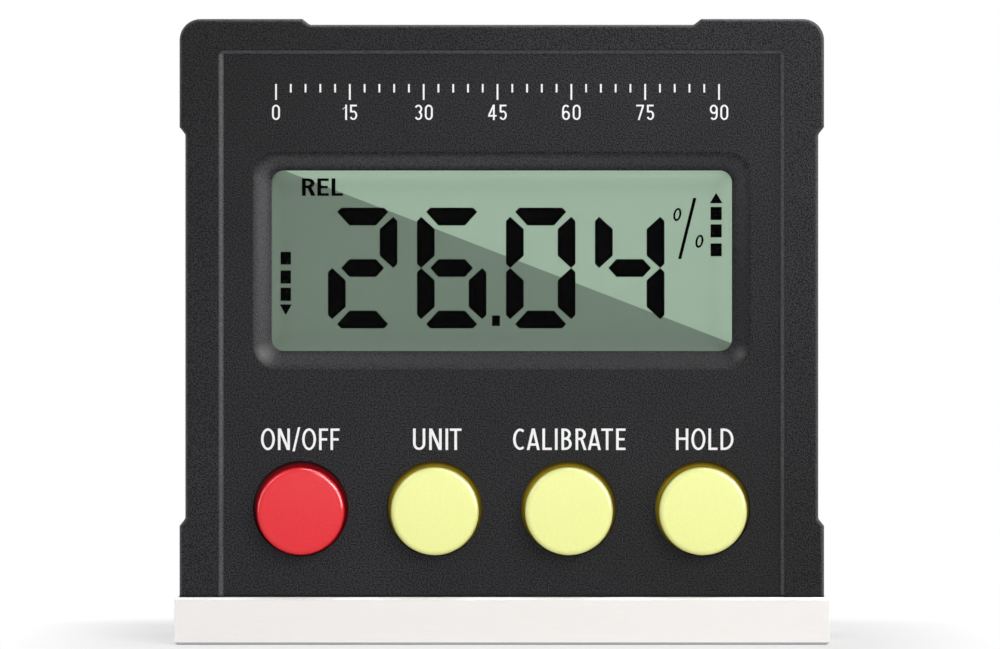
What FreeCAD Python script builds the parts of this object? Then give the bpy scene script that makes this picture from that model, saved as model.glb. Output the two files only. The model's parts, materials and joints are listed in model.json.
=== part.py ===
"""A small digital inclinometer: a plastic box on a grooved magnetic base.

Millimetres, +Z up, the front faces -Y. The origin is the middle of the underside of the base.
"""
import FreeCAD, Part
import math
import os
import Sketcher

Vector = FreeCAD.Vector
Rotation = FreeCAD.Rotation

# Driving dimensions, in millimetres. They become the cells of the sheet "dim".
SIZES = {
    # Housing: a front and a rear cover that meet at mid-depth and stand on the base.
    "housing_width": 61.1,
    "housing_depth": 30.2,
    "housing_top": 59.3,
    "cover_wall": 2.0,
    "corner_radius": 2.0,
    "cavity_radius": 1.0,
    "edge_round": 0.4,
    # The corners stand proud of the waist on the sides and on the top.
    "waist_recess": 0.55,
    "step_slope": 0.7,
    "step_fillet": 0.45,
    "low_corner_height": 7.45,
    "top_corner_height": 10.95,
    "top_corner_width": 12.35,
    # Lip that locates the front cover in the rear cover.
    "seam_lip": 1.0,
    "seam_lip_thickness": 0.8,
    "seam_clearance": 0.1,
    # Screw posts in the corners of the covers.
    "post_inset": 1.9,
    "front_post_radius": 2.2,
    "rear_post_radius": 3.2,
    "cover_screw_length": 14.0,
    "cover_screw_thread": 6.0,
    "counterbore_radius": 2.3,
    # Inset front panel.
    "panel_side_margin": 4.2,
    "panel_top_margin": 3.4,
    "panel_recess": 0.4,
    "panel_bevel": 0.5,
    "panel_corner": 0.1,
    # Display window, with a sloping bezel around it.
    "window_side_margin": 4.475,
    "window_top_margin": 14.325,
    "window_button_gap": 14.925,
    "window_radius": 1.15,
    "window_lip": 0.35,
    "bezel_slope": 1.7,
    "bezel_depth": 1.15,
    "bezel_radius": 2.2,
    "bezel_round": 0.35,
    "lens_overlap": 1.2,
    "lens_thickness": 1.0,
    "lens_clearance": 0.15,
    "gasket_width": 0.9,
    "gasket_thickness": 0.15,
    # Display stack behind the lens.
    "lcd_gap": 0.4,
    "frame_gap": 0.05,
    "lcd_thickness": 2.0,
    "lcd_border_side": 1.9,
    "lcd_border_top": 2.4,
    "reflector_thickness": 0.2,
    "zebra_thickness": 1.6,
    "frame_wall": 1.4,
    "frame_clearance": 0.15,
    "frame_lip": 0.5,
    "peg_radius": 0.6,
    "peg_clearance": 0.05,
    # Main board.
    "board_gap": 5.5,
    "board_thickness": 1.6,
    "board_clearance": 0.4,
    "board_margin": 1.0,
    "board_boss_radius": 2.0,
    "board_screw_low_rise": 6.7,
    "board_screw_low_inset": 4.0,
    "board_screw_high_drop": 4.35,
    "board_screw_high_inset": 10.0,
    "board_screw_length": 5.0,
    # Buttons and the switches behind them.
    "button_side_margin": 7.3,
    "button_rise": 8.4,
    "button_hole_radius": 4.525,
    "button_clearance": 0.355,
    "button_sag": 0.24,
    "button_stand": 1.2,
    "button_round": 0.45,
    "button_flange": 0.8,
    "button_flange_thickness": 0.8,
    "button_free_gap": 0.05,
    "button_boss_radius": 2.0,
    "switch_width": 6.0,
    "switch_height": 3.5,
    "switch_wall": 0.8,
    "plunger_radius": 1.75,
    "plunger_clearance": 0.05,
    "plunger_stand": 0.8,
    "plunger_flange": 0.4,
    "dome_height": 0.5,
    "dome_thickness": 0.1,
    "dome_shoulder": 0.4,
    # Metal base with a V-groove along X.
    "base_width": 62.0,
    "base_depth": 31.0,
    "base_thickness": 4.5,
    "base_chamfer": 0.25,
    "groove_opening": 13.0,
    "groove_height": 4.0,
    "tongue_width": 12.0,
    "tongue_post_gap": 0.6,
    "tongue_height": 3.8,
    "tongue_clearance": 0.2,
    "magnet_radius": 3.0,
    "magnet_thickness": 3.0,
    "magnet_inset": 0.3,
    "magnet_end_wall": 1.3,
    "magnet_clearance": 0.05,
    "base_screw_depth_span": 20.6,
    "base_screw_length": 6.8,
    "base_boss_radius": 2.85,
    "base_boss_height": 1.6,
    # Screws.
    "screw_radius": 1.1,
    "screw_head_radius": 2.05,
    "screw_head_height": 1.3,
    "cross_arm": 1.25,
    "cross_web": 0.3,
    "cross_depth": 0.75,
    "screw_clearance": 0.2,
    # Battery bay and its sliding door.
    "cell_radius": 5.25,
    "cell_nipple_radius": 1.9,
    "cell_nipple_length": 1.0,
    "cell_clearance": 0.25,
    "cell_spacing": 0.5,
    "bay_rise": 25.65,
    "bay_side_gap": 3.0,
    "bay_wall": 1.2,
    "contact_thickness": 0.4,
    "contact_width": 7.0,
    "tail_width": 3.0,
    "spring_length": 4.7,
    "spring_wire_radius": 0.25,
    "spring_radius": 3.2,
    "spring_turns": 3.5,
    "spring_clearance": 0.05,
    "door_thickness": 2.0,
    "door_tongue": 0.9,
    "door_tongue_thickness": 0.95,
    "door_clearance": 0.1,
    "door_end_overlap": 1.2,
    "grip_groove_width": 0.8,
    "grip_groove_depth": 0.4,
    "grip_groove_length": 12.0,
    "grip_groove_pitch": 1.6,
    "grip_inset": 3.0,
    # Parts on the main board.
    "controller_width": 10.0,
    "controller_height": 1.6,
    "controller_drop": 14.75,
    "sensor_width": 4.0,
    "sensor_height": 1.2,
    "sensor_rise": 17.5,
    "crystal_length": 6.0,
    "crystal_radius": 1.0,
    "crystal_offset": 10.0,
    "capacitor_radius": 2.0,
    "capacitor_gap": 1.5,
    "capacitor_offset": 12.0,
}

GRIP_GROOVES = 6
BUTTON_NAMES = ("power", "unit", "calibrate", "hold")
MAGNET_STEPS = (-1, 0, 1)
SIDES = (-1, 1)

# Places, as expressions over the sheet. Y runs from the front (-) to the back (+).
HALF_WIDTH = "(dim.housing_width / 2)"
WAIST_X = f"({HALF_WIDTH} - dim.waist_recess)"
WAIST_TOP = "(dim.housing_top - dim.waist_recess)"
CAVITY_X = f"({WAIST_X} - dim.cover_wall)"
CAVITY_LOW = "(dim.base_thickness + dim.cover_wall)"
CAVITY_HIGH = f"({WAIST_TOP} - dim.cover_wall)"
CAVITY_LEVEL = f"(({CAVITY_LOW} + {CAVITY_HIGH}) / 2)"

SIDE_WAIST_LOW = "(dim.base_thickness + dim.low_corner_height)"
SIDE_WAIST_HIGH = "(dim.housing_top - dim.top_corner_height)"
TOP_WAIST_X = f"({HALF_WIDTH} - dim.top_corner_width)"

RIM_Y = "(-dim.housing_depth / 2)"
PANEL_Y = f"({RIM_Y} + dim.panel_recess)"
INNER_Y = f"({PANEL_Y} + dim.cover_wall)"
BOARD_FRONT_Y = f"({INNER_Y} + dim.board_gap)"
BOARD_BACK_Y = f"({BOARD_FRONT_Y} + dim.board_thickness)"
REAR_Y = "(dim.housing_depth / 2)"
REAR_INNER_Y = f"({REAR_Y} - dim.cover_wall)"

PANEL_X = f"({HALF_WIDTH} - dim.panel_side_margin)"
PANEL_TOP = "(dim.housing_top - dim.panel_top_margin)"
BUTTON_LEVEL = "(dim.base_thickness + dim.button_rise)"
BUTTON_PITCH = f"(2 * ({PANEL_X} - dim.button_side_margin) / 3)"

POST_X = f"({CAVITY_X} - dim.post_inset)"
POST_LOW = f"({CAVITY_LOW} + dim.post_inset)"
POST_HIGH = f"({CAVITY_HIGH} - dim.post_inset)"
COVER_SCREW_SEAT_Y = "(dim.cover_screw_length - dim.cover_screw_thread)"

WINDOW_LOW = f"({BUTTON_LEVEL} + dim.window_button_gap)"
WINDOW_HIGH = "(dim.housing_top - dim.window_top_margin)"
WINDOW_LEVEL = f"(({WINDOW_LOW} + {WINDOW_HIGH}) / 2)"
WINDOW_WIDTH = f"(2 * ({PANEL_X} - dim.window_side_margin))"
WINDOW_HEIGHT = f"({WINDOW_HIGH} - {WINDOW_LOW})"
WINDOW_FRONT_Y = f"({PANEL_Y} + dim.bezel_depth)"
LENS_SEAT_Y = f"({WINDOW_FRONT_Y} + dim.window_lip)"
LENS_FRONT_Y = f"({LENS_SEAT_Y} + dim.gasket_thickness)"
LENS_BACK_Y = f"({LENS_FRONT_Y} + dim.lens_thickness)"
LENS_WIDTH = f"({WINDOW_WIDTH} + 2 * dim.lens_overlap)"
LENS_HEIGHT = f"({WINDOW_HEIGHT} + 2 * dim.lens_overlap)"
LCD_FRONT_Y = f"({LENS_BACK_Y} + dim.lcd_gap)"
LCD_BACK_Y = f"({LCD_FRONT_Y} + dim.lcd_thickness)"
LCD_WIDTH = f"({WINDOW_WIDTH} + 2 * dim.lcd_border_side)"
LCD_HEIGHT = f"({WINDOW_HEIGHT} + 2 * dim.lcd_border_top)"
FRAME_INNER_WIDTH = f"({LCD_WIDTH} + 2 * dim.frame_clearance)"
FRAME_INNER_HEIGHT = f"({LCD_HEIGHT} + 2 * dim.frame_clearance)"
FRAME_WIDTH = f"({FRAME_INNER_WIDTH} + 2 * dim.frame_wall)"
FRAME_HEIGHT = f"({FRAME_INNER_HEIGHT} + 2 * dim.frame_wall)"
PEG_X = f"({FRAME_INNER_WIDTH} / 2 + dim.frame_wall / 2)"
PEG_RISE = f"({FRAME_INNER_HEIGHT} / 2 + dim.frame_wall / 2)"

CAP_RADIUS = "(dim.button_hole_radius - dim.button_clearance)"
CAP_LEVEL = f"({BUTTON_LEVEL} - dim.button_sag)"
CAP_FRONT_Y = f"({PANEL_Y} - dim.button_stand)"
FLANGE_RADIUS = f"({CAP_RADIUS} + dim.button_flange)"
FLANGE_FRONT_Y = f"({INNER_Y} + dim.button_free_gap)"
SWITCH_FRONT_Y = f"({BOARD_FRONT_Y} - dim.switch_height)"
PLUNGER_FRONT_Y = f"({SWITCH_FRONT_Y} - dim.plunger_stand)"
SWITCH_ROOM_FRONT_Y = f"({SWITCH_FRONT_Y} + dim.switch_wall)"
SWITCH_ROOM_BACK_Y = f"({BOARD_FRONT_Y} - dim.switch_wall)"
SWITCH_ROOM_RADIUS = "(dim.switch_width / 2 - dim.switch_wall)"
DOME_TOP_Y = f"({SWITCH_ROOM_BACK_Y} - dim.dome_height)"

GROOVE_FLOOR = "(dim.groove_opening - 2 * dim.groove_height)"
TONGUE_TOP = "(dim.base_thickness + dim.tongue_height)"
TONGUE_X = f"({POST_X} - dim.rear_post_radius - dim.tongue_post_gap)"
MAGNET_LOW = "(dim.groove_height + dim.magnet_inset)"
MAGNET_PITCH = f"({TONGUE_X} - dim.magnet_radius - dim.magnet_end_wall)"
BASE_SCREW_X = BUTTON_PITCH
BASE_SCREW_Y = "(dim.base_screw_depth_span / 2)"

BAY_HALF_HEIGHT = "(2 * dim.cell_radius + dim.cell_spacing / 2 + dim.cell_clearance)"
BAY_LEVEL = "(dim.base_thickness + dim.bay_rise)"
BAY_LOW = f"({BAY_LEVEL} - {BAY_HALF_HEIGHT})"
BAY_HIGH = f"({BAY_LEVEL} + {BAY_HALF_HEIGHT})"
BAY_X = f"({CAVITY_X} - dim.bay_side_gap)"
CELL_LENGTH = f"(2 * ({BAY_X} - dim.contact_thickness) - dim.spring_length)"
CELL_RISE = "(dim.cell_radius + dim.cell_spacing / 2)"
DOOR_INNER_Y = f"({REAR_Y} - dim.door_thickness)"
DOOR_SHOULDER_Y = f"({DOOR_INNER_Y} + dim.door_tongue_thickness)"
CELL_Y = f"({DOOR_INNER_Y} - dim.cell_clearance - dim.cell_radius)"
BAY_FRONT_Y = f"({CELL_Y} - dim.cell_radius - dim.cell_clearance)"
BULKHEAD_FRONT_Y = f"({BAY_FRONT_Y} - dim.bay_wall)"
BAY_TOP = f"({BAY_HIGH} + dim.door_tongue + dim.bay_wall)"
BAY_BOTTOM = f"({BAY_LOW} - dim.door_tongue - dim.bay_wall)"
DOOR_END_X = f"({BAY_X} + dim.door_end_overlap)"

# How a sketch numbers the points of a line or an arc.
START, END, CENTRE = range(1, 4)

doc = FreeCAD.newDocument("inclinometer")
pieces = []


def make_sheet():
    """The spreadsheet that holds the driving dimensions, one named cell each."""
    sheet = doc.addObject("Spreadsheet::Sheet", "dim")
    for row, (alias, size) in enumerate(SIZES.items(), start=1):
        sheet.set(f"A{row}", alias)
        sheet.set(f"B{row}", str(size))
        sheet.setAlias(f"B{row}", alias)
    doc.recompute()
    return sheet


dim = make_sheet()


def value(expression):
    """The number that an expression over the sheet gives."""
    return float(dim.evalExpression(expression))


# ---------------------------------------------------------------- sketch helpers

def new_body(name):
    """An empty body whose label names the piece."""
    body = doc.addObject("PartDesign::Body", name)
    body.Label = name
    return body


def new_piece(name):
    """A body that is one whole piece."""
    body = new_body(name)
    pieces.append(body)
    return body


def new_sketch(body, name, role, offset):
    """A sketch on one of the body's own origin planes, moved along its normal."""
    plane = next(feature for feature in body.Origin.OriginFeatures if feature.Role == role)
    sketch = body.newObject("Sketcher::SketchObject", name)
    sketch.AttachmentSupport = [(plane, "")]
    sketch.MapMode = "FlatFace"
    sketch.setExpression("AttachmentOffset.Base.z", offset)
    return sketch


def upright_sketch(body, name, depth):
    """A sketch of X and Z at a depth along Y. Its normal points to the front, -Y."""
    return new_sketch(body, name, "XZ_Plane", f"-1 * ({depth})")


def flat_sketch(body, name, level):
    """A sketch of X and Y at a level along Z. Its normal points up."""
    return new_sketch(body, name, "XY_Plane", level)


def side_sketch(body, name, across):
    """A sketch of Y and Z at a place along X. Its normal points to +X."""
    return new_sketch(body, name, "YZ_Plane", across)


def locate(sketch, shape, point, across, up):
    """Ties a point of a sketch's shape to a place given as two expressions."""
    spot = (("DistanceX", across), ("DistanceY", up))
    for kind, expression in spot:
        constraint = Sketcher.Constraint(kind, -1, START, shape, point, value(expression))
        index = sketch.addConstraint(constraint)
        sketch.setExpression(f"Constraints[{index}]", expression)


def add_polygon(sketch, corners):
    """A closed outline through corners, each a pair of expressions."""
    points = [Vector(value(across), value(up), 0) for across, up in corners]
    count = len(points)
    lines = []
    for index in range(count):
        line = Part.LineSegment(points[index], points[(index + 1) % count])
        lines.append(sketch.addGeometry(line, False))
    for index in range(count):
        following = lines[(index + 1) % count]
        sketch.addConstraint(Sketcher.Constraint("Coincident", lines[index], END, following, START))
    for line, (across, up) in zip(lines, corners):
        locate(sketch, line, START, across, up)


def add_rectangle(sketch, left, right, low, high):
    """A rectangle between four expressions."""
    add_polygon(sketch, [(left, low), (right, low), (right, high), (left, high)])


def add_circle(sketch, across, up, radius):
    """A circle with its centre and radius given as expressions."""
    circle = Part.Circle(Vector(value(across), value(up), 0), Vector(0, 0, 1), value(radius))
    index = sketch.addGeometry(circle, False)
    locate(sketch, index, CENTRE, across, up)
    size = sketch.addConstraint(Sketcher.Constraint("Radius", index, value(radius)))
    sketch.setExpression(f"Constraints[{size}]", radius)


def add_round_rectangle(sketch, level, width, height, radius):
    """A rectangle with round corners, centred on X = 0 at a level."""
    quarter = math.pi / 2
    corners = ((1, 1), (-1, 1), (-1, -1), (1, -1))
    arcs = []
    for turn, (side, rise) in enumerate(corners):
        across = f"{side} * ({width} / 2 - {radius})"
        up = f"{level} + {rise} * ({height} / 2 - {radius})"
        circle = Part.Circle(Vector(value(across), value(up), 0), Vector(0, 0, 1), value(radius))
        arc = Part.ArcOfCircle(circle, turn * quarter, (turn + 1) * quarter)
        index = sketch.addGeometry(arc, False)
        locate(sketch, index, CENTRE, across, up)
        size = sketch.addConstraint(Sketcher.Constraint("Radius", index, value(radius)))
        sketch.setExpression(f"Constraints[{size}]", radius)
        arcs.append(index)
    for index, arc in enumerate(arcs):
        following = arcs[(index + 1) % len(arcs)]
        segment = Part.LineSegment(sketch.getPoint(arc, END), sketch.getPoint(following, START))
        line = sketch.addGeometry(segment, False)
        sketch.addConstraint(Sketcher.Constraint("Tangent", arc, END, line, START))
        sketch.addConstraint(Sketcher.Constraint("Tangent", line, END, following, START))


# --------------------------------------------------------------- feature helpers

def pad(body, name, sketch, length, backward=False):
    """Adds material from a sketch along its normal, or against it."""
    feature = body.newObject("PartDesign::Pad", name)
    feature.Profile = sketch
    feature.setExpression("Length", length)
    feature.Reversed = backward
    doc.recompute()
    return feature


def check_cut(body, name, before):
    """A cut that removes nothing points the wrong way."""
    if not body.Shape.Volume < before:
        raise RuntimeError(f"{body.Label}: {name} removes nothing")


def pocket(body, name, sketch, length, forward=False):
    """Removes material from a sketch against its normal, or along it when forward."""
    before = body.Shape.Volume
    feature = body.newObject("PartDesign::Pocket", name)
    feature.Profile = sketch
    feature.setExpression("Length", length)
    feature.Reversed = forward
    doc.recompute()
    check_cut(body, name, before)
    return feature


def loft_cut(body, name, outer, inner):
    """Removes the solid that runs from one sketch to the other."""
    before = body.Shape.Volume
    feature = body.newObject("PartDesign::SubtractiveLoft", name)
    feature.Profile = outer
    feature.Sections = [inner]
    feature.Ruled = True
    doc.recompute()
    check_cut(body, name, before)
    return feature


def revolve(body, name, sketch, axis):
    """A full turn of a sketch about one of its axes."""
    feature = body.newObject("PartDesign::Revolution", name)
    feature.Profile = sketch
    feature.ReferenceAxis = (sketch, [axis])
    feature.Angle = 360
    doc.recompute()
    return feature


def edge_names(shape, wanted):
    """Names of the edges that a test accepts."""
    return [f"Edge{number}" for number, edge in enumerate(shape.Edges, start=1) if wanted(edge)]


def close(left, right):
    """Whether two lengths are the same for picking edges."""
    return abs(left - right) < 0.01


def is_level(edge, axis, position):
    """Whether an edge lies in the plane where one coordinate has a given value."""
    box = edge.BoundBox
    low, high = {"x": (box.XMin, box.XMax), "y": (box.YMin, box.YMax), "z": (box.ZMin, box.ZMax)}[axis]
    return close(low, position) and close(high, position)


def round_edges(body, name, wanted, radius):
    """Rounds the edges that a test accepts."""
    base = body.Tip
    edges = edge_names(body.Shape, wanted)
    feature = body.newObject("PartDesign::Fillet", name)
    feature.Base = (base, edges)
    feature.setExpression("Radius", radius)
    doc.recompute()
    return feature


def chamfer_edges(body, name, wanted, size):
    """Cuts a small slope on the edges that a test accepts."""
    base = body.Tip
    edges = edge_names(body.Shape, wanted)
    feature = body.newObject("PartDesign::Chamfer", name)
    feature.Base = (base, edges)
    feature.setExpression("Size", size)
    doc.recompute()
    return feature


def place(item, across, depth, level):
    """Moves an object to a place given as expressions."""
    for axis, expression in (("x", across), ("y", depth), ("z", level)):
        item.setExpression(f"Placement.Base.{axis}", expression)


def group(name, members):
    """Several separate solids that make one piece of the list."""
    compound = doc.addObject("Part::Compound", name)
    compound.Label = name
    compound.Links = members
    pieces.append(compound)
    doc.recompute()
    return compound


# ------------------------------------------------------------------------ covers

def housing_outline():
    """Corners of the housing seen from the front: proud corners, recessed waist."""
    step_low = f"({SIDE_WAIST_LOW} - dim.step_slope)"
    step_high = f"({SIDE_WAIST_HIGH} + dim.step_slope)"
    top_step = f"({TOP_WAIST_X} + dim.step_slope)"
    right = [
        (HALF_WIDTH, "dim.base_thickness"),
        (HALF_WIDTH, step_low),
        (WAIST_X, SIDE_WAIST_LOW),
        (WAIST_X, SIDE_WAIST_HIGH),
        (HALF_WIDTH, step_high),
        (HALF_WIDTH, "dim.housing_top"),
        (top_step, "dim.housing_top"),
        (TOP_WAIST_X, WAIST_TOP),
    ]
    left = [(f"-1 * {across}", up) for across, up in reversed(right)]
    return right + left


def round_housing(body, face_y):
    """Rounds the upright corners, the steps of the waist and the outer edge of the face."""
    half_width = value(HALF_WIDTH)
    top = value("dim.housing_top")
    waist_x = value(WAIST_X)
    steps = [(waist_x, value(SIDE_WAIST_LOW)), (waist_x, value(SIDE_WAIST_HIGH))]
    steps.append((value(TOP_WAIST_X), value(WAIST_TOP)))
    face_level = value(face_y)
    foot_level = value("dim.base_thickness")

    def runs_along_y(edge):
        return not close(edge.BoundBox.YLength, 0) and close(edge.BoundBox.XLength, 0) \
            and close(edge.BoundBox.ZLength, 0)

    def is_corner(edge):
        box = edge.BoundBox
        return runs_along_y(edge) and close(abs(box.XMin), half_width) and close(box.ZMin, top)

    def is_step(edge):
        box = edge.BoundBox
        return runs_along_y(edge) and any(
            close(abs(box.XMin), across) and close(box.ZMin, up) for across, up in steps)

    def is_face_edge(edge):
        return is_level(edge, "y", face_level) and not is_level(edge, "z", foot_level)

    round_edges(body, "corner_rounds", is_corner, "dim.corner_radius")
    round_edges(body, "step_rounds", is_step, "dim.step_fillet")
    round_edges(body, "face_round", is_face_edge, "dim.edge_round")


def hollow_cover(body, depth, forward):
    """The room inside a cover, open towards the seam."""
    sketch = upright_sketch(body, "cavity_outline", "0")
    add_round_rectangle(sketch, CAVITY_LEVEL, f"(2 * {CAVITY_X})", f"({CAVITY_HIGH} - {CAVITY_LOW})",
                        "dim.cavity_radius")
    pocket(body, "cavity", sketch, depth, forward)


def post_places():
    """Where the four cover screws stand, as pairs of expressions."""
    return [(f"{side} * {POST_X}", level) for side in SIDES for level in (POST_LOW, POST_HIGH)]


def add_base_bosses(body, side):
    """Two bosses on the floor of a cover that take the base screws."""
    sketch = flat_sketch(body, "base_boss_outline", CAVITY_LOW)
    for across in SIDES:
        add_circle(sketch, f"{across} * {BASE_SCREW_X}", f"{side} * {BASE_SCREW_Y}", "dim.base_boss_radius")
    pad(body, "base_bosses", sketch, "dim.base_boss_height")
    holes = flat_sketch(body, "base_screw_holes_outline", "dim.base_thickness")
    for across in SIDES:
        add_circle(holes, f"{across} * {BASE_SCREW_X}", f"{side} * {BASE_SCREW_Y}",
                   "dim.screw_radius")
    pocket(body, "base_screw_holes", holes, "dim.cover_wall + dim.base_boss_height", forward=True)


def cut_tongue_slot(body):
    """Opening in the floor for the tongue of the base."""
    sketch = flat_sketch(body, "tongue_slot_outline", "dim.base_thickness")
    half_length = f"({TONGUE_X} + dim.tongue_clearance)"
    half_width = "(dim.tongue_width / 2 + dim.tongue_clearance)"
    add_rectangle(sketch, f"-1 * {half_length}", half_length, f"-1 * {half_width}", half_width)
    pocket(body, "tongue_slot", sketch, "dim.cover_wall", forward=True)


def add_panel_outline(sketch, edge):
    """The panel, widened by an edge. It starts at a level within the base, which hides its foot."""
    foot = "(dim.base_thickness / 2)"
    top = f"({PANEL_TOP} + {edge})"
    add_round_rectangle(sketch, f"({top} + {foot}) / 2", f"(2 * ({PANEL_X} + {edge}))",
                        f"({top} - {foot})", f"(dim.panel_corner + {edge})")


def cut_front_panel(body):
    """Inset panel with a bevelled edge and round upper corners, which runs down to the base."""
    outer = upright_sketch(body, "panel_edge_outer", RIM_Y)
    add_panel_outline(outer, "dim.panel_bevel")
    inner = upright_sketch(body, "panel_edge_inner", PANEL_Y)
    add_panel_outline(inner, "0")
    loft_cut(body, "panel", outer, inner)


def cut_window(body):
    """Sloping bezel, window and the seat of the lens behind it."""
    outer = upright_sketch(body, "bezel_outer", PANEL_Y)
    add_round_rectangle(outer, WINDOW_LEVEL, f"({WINDOW_WIDTH} + 2 * dim.bezel_slope)",
                        f"({WINDOW_HEIGHT} + 2 * dim.bezel_slope)", "dim.bezel_radius")
    inner = upright_sketch(body, "bezel_inner", WINDOW_FRONT_Y)
    add_round_rectangle(inner, WINDOW_LEVEL, WINDOW_WIDTH, WINDOW_HEIGHT, "dim.window_radius")
    loft_cut(body, "bezel", outer, inner)

    panel_y = value(PANEL_Y)
    rim_low = value(f"{WINDOW_LOW} - 2 * dim.bezel_slope")
    rim_high = value(f"{WINDOW_HIGH} + 2 * dim.bezel_slope")

    def is_bezel_rim(edge):
        box = edge.BoundBox
        return is_level(edge, "y", panel_y) and box.ZMin > rim_low and box.ZMax < rim_high

    round_edges(body, "bezel_rim_round", is_bezel_rim, "dim.bezel_round")
    window = upright_sketch(body, "window_outline", WINDOW_FRONT_Y)
    add_round_rectangle(window, WINDOW_LEVEL, WINDOW_WIDTH, WINDOW_HEIGHT, "dim.window_radius")
    pocket(body, "window", window, "dim.cover_wall")
    seat = upright_sketch(body, "lens_seat_outline", LENS_SEAT_Y)
    add_round_rectangle(seat, WINDOW_LEVEL, f"({LENS_WIDTH} + 2 * dim.lens_clearance)",
                        f"({LENS_HEIGHT} + 2 * dim.lens_clearance)", "dim.window_radius")
    pocket(body, "lens_seat", seat, "dim.cover_wall")


def button_x(index):
    """Place of a button along X, as an expression."""
    return f"({index - (len(BUTTON_NAMES) - 1) / 2} * {BUTTON_PITCH})"


def board_screw_places():
    """Where the four board screws stand, as pairs of expressions."""
    low = f"({BUTTON_LEVEL} + dim.board_screw_low_rise)"
    high = f"({CAVITY_HIGH} - dim.board_screw_high_drop)"
    rows = ((low, "dim.board_screw_low_inset"), (high, "dim.board_screw_high_inset"))
    return [(f"{side} * ({CAVITY_X} - {inset})", level) for level, inset in rows for side in SIDES]


def add_seam_lip(body):
    """Thin ring inside the wall that locates the rear cover."""
    sketch = upright_sketch(body, "seam_lip_outline", "0")
    add_round_rectangle(sketch, CAVITY_LEVEL, f"(2 * ({CAVITY_X} + dim.seam_lip_thickness))",
                        f"({CAVITY_HIGH} - {CAVITY_LOW} + 2 * dim.seam_lip_thickness)",
                        "(dim.cavity_radius + dim.seam_lip_thickness)")
    add_round_rectangle(sketch, CAVITY_LEVEL, f"(2 * {CAVITY_X})", f"({CAVITY_HIGH} - {CAVITY_LOW})",
                        "dim.cavity_radius")
    pad(body, "seam_lip", sketch, "dim.seam_lip", backward=True)


def make_front_cover():
    """Front shell with the panel, the display window and the button holes."""
    body = new_piece("front_cover")
    outline = upright_sketch(body, "outline", "0")
    add_polygon(outline, housing_outline())
    pad(body, "block", outline, "dim.housing_depth / 2")
    round_housing(body, RIM_Y)
    cut_front_panel(body)
    hollow_cover(body, f"-1 * {INNER_Y}", forward=True)

    posts = upright_sketch(body, "post_outline", "0")
    for across, level in post_places():
        add_circle(posts, across, level, "dim.front_post_radius")
    pad(body, "posts", posts, f"-1 * {INNER_Y}")
    bosses = upright_sketch(body, "board_boss_outline", BOARD_FRONT_Y)
    for across, level in board_screw_places():
        add_circle(bosses, across, level, "dim.board_boss_radius")
    pad(body, "board_bosses", bosses, "dim.board_gap")
    add_seam_lip(body)
    cut_window(body)

    holes = upright_sketch(body, "button_hole_outline", PANEL_Y)
    for index in range(len(BUTTON_NAMES)):
        add_circle(holes, button_x(index), BUTTON_LEVEL, "dim.button_hole_radius")
    pocket(body, "button_holes", holes, "dim.cover_wall")
    pilots = upright_sketch(body, "cover_screw_pilot_outline", "0")
    for across, level in post_places():
        add_circle(pilots, across, level, "dim.screw_radius")
    pocket(body, "cover_screw_pilots", pilots, "dim.cover_screw_thread + dim.screw_clearance", forward=True)
    board_pilots = upright_sketch(body, "board_screw_pilot_outline", BOARD_FRONT_Y)
    for across, level in board_screw_places():
        add_circle(board_pilots, across, level, "dim.screw_radius")
    pocket(body, "board_screw_pilots", board_pilots,
           "dim.board_screw_length - dim.board_thickness + dim.screw_clearance", forward=True)
    add_base_bosses(body, -1)
    cut_tongue_slot(body)
    return body


def cut_seam_rebate(body):
    """Groove in the rear cover for the lip of the front cover."""
    sketch = upright_sketch(body, "seam_rebate_outline", "0")
    outer = "(dim.seam_lip_thickness + dim.seam_clearance)"
    add_round_rectangle(sketch, CAVITY_LEVEL, f"(2 * ({CAVITY_X} + {outer}))",
                        f"({CAVITY_HIGH} - {CAVITY_LOW} + 2 * {outer})", f"(dim.cavity_radius + {outer})")
    inner = "dim.seam_clearance"
    add_round_rectangle(sketch, CAVITY_LEVEL, f"(2 * ({CAVITY_X} - {inner}))",
                        f"({CAVITY_HIGH} - {CAVITY_LOW} - 2 * {inner})", f"(dim.cavity_radius - {inner})")
    pocket(body, "seam_rebate", sketch, "dim.seam_lip + dim.seam_clearance")


def add_battery_bay(body):
    """Box for the two cells, with its bulkhead towards the main board."""
    block = upright_sketch(body, "bay_outline", BULKHEAD_FRONT_Y)
    add_rectangle(block, f"-1 * ({BAY_X} + dim.bay_wall + dim.door_end_overlap)",
                  f"({WAIST_X} - dim.cover_wall / 2)", BAY_BOTTOM, BAY_TOP)
    pad(body, "bay_block", block, f"{REAR_Y} - dim.cover_wall / 2 - {BULKHEAD_FRONT_Y}", backward=True)
    room = upright_sketch(body, "bay_room_outline", BAY_FRONT_Y)
    add_rectangle(room, f"-1 * {BAY_X}", BAY_X, BAY_LOW, BAY_HIGH)
    pocket(body, "bay_room", room, f"{REAR_Y} - {BAY_FRONT_Y}")


def cut_door_channel(body):
    """Opening of the sliding door and the grooves that hold its tongues."""
    opening = side_sketch(body, "door_opening_outline", f"-1 * ({DOOR_END_X} + dim.door_clearance)")
    add_rectangle(opening, DOOR_INNER_Y, f"({REAR_Y} + dim.cover_wall)", BAY_LOW, BAY_HIGH)
    reach = f"({DOOR_END_X} + dim.door_clearance + {HALF_WIDTH})"
    pocket(body, "door_opening", opening, reach, forward=True)
    groove = side_sketch(body, "door_groove_outline", f"-1 * ({DOOR_END_X} + dim.door_clearance)")
    add_rectangle(groove, f"({DOOR_INNER_Y})", f"({DOOR_SHOULDER_Y} + dim.door_clearance)",
                  f"({BAY_LOW} - dim.door_tongue)", f"({BAY_HIGH} + dim.door_tongue)")
    pocket(body, "door_groove", groove, reach, forward=True)


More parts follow.
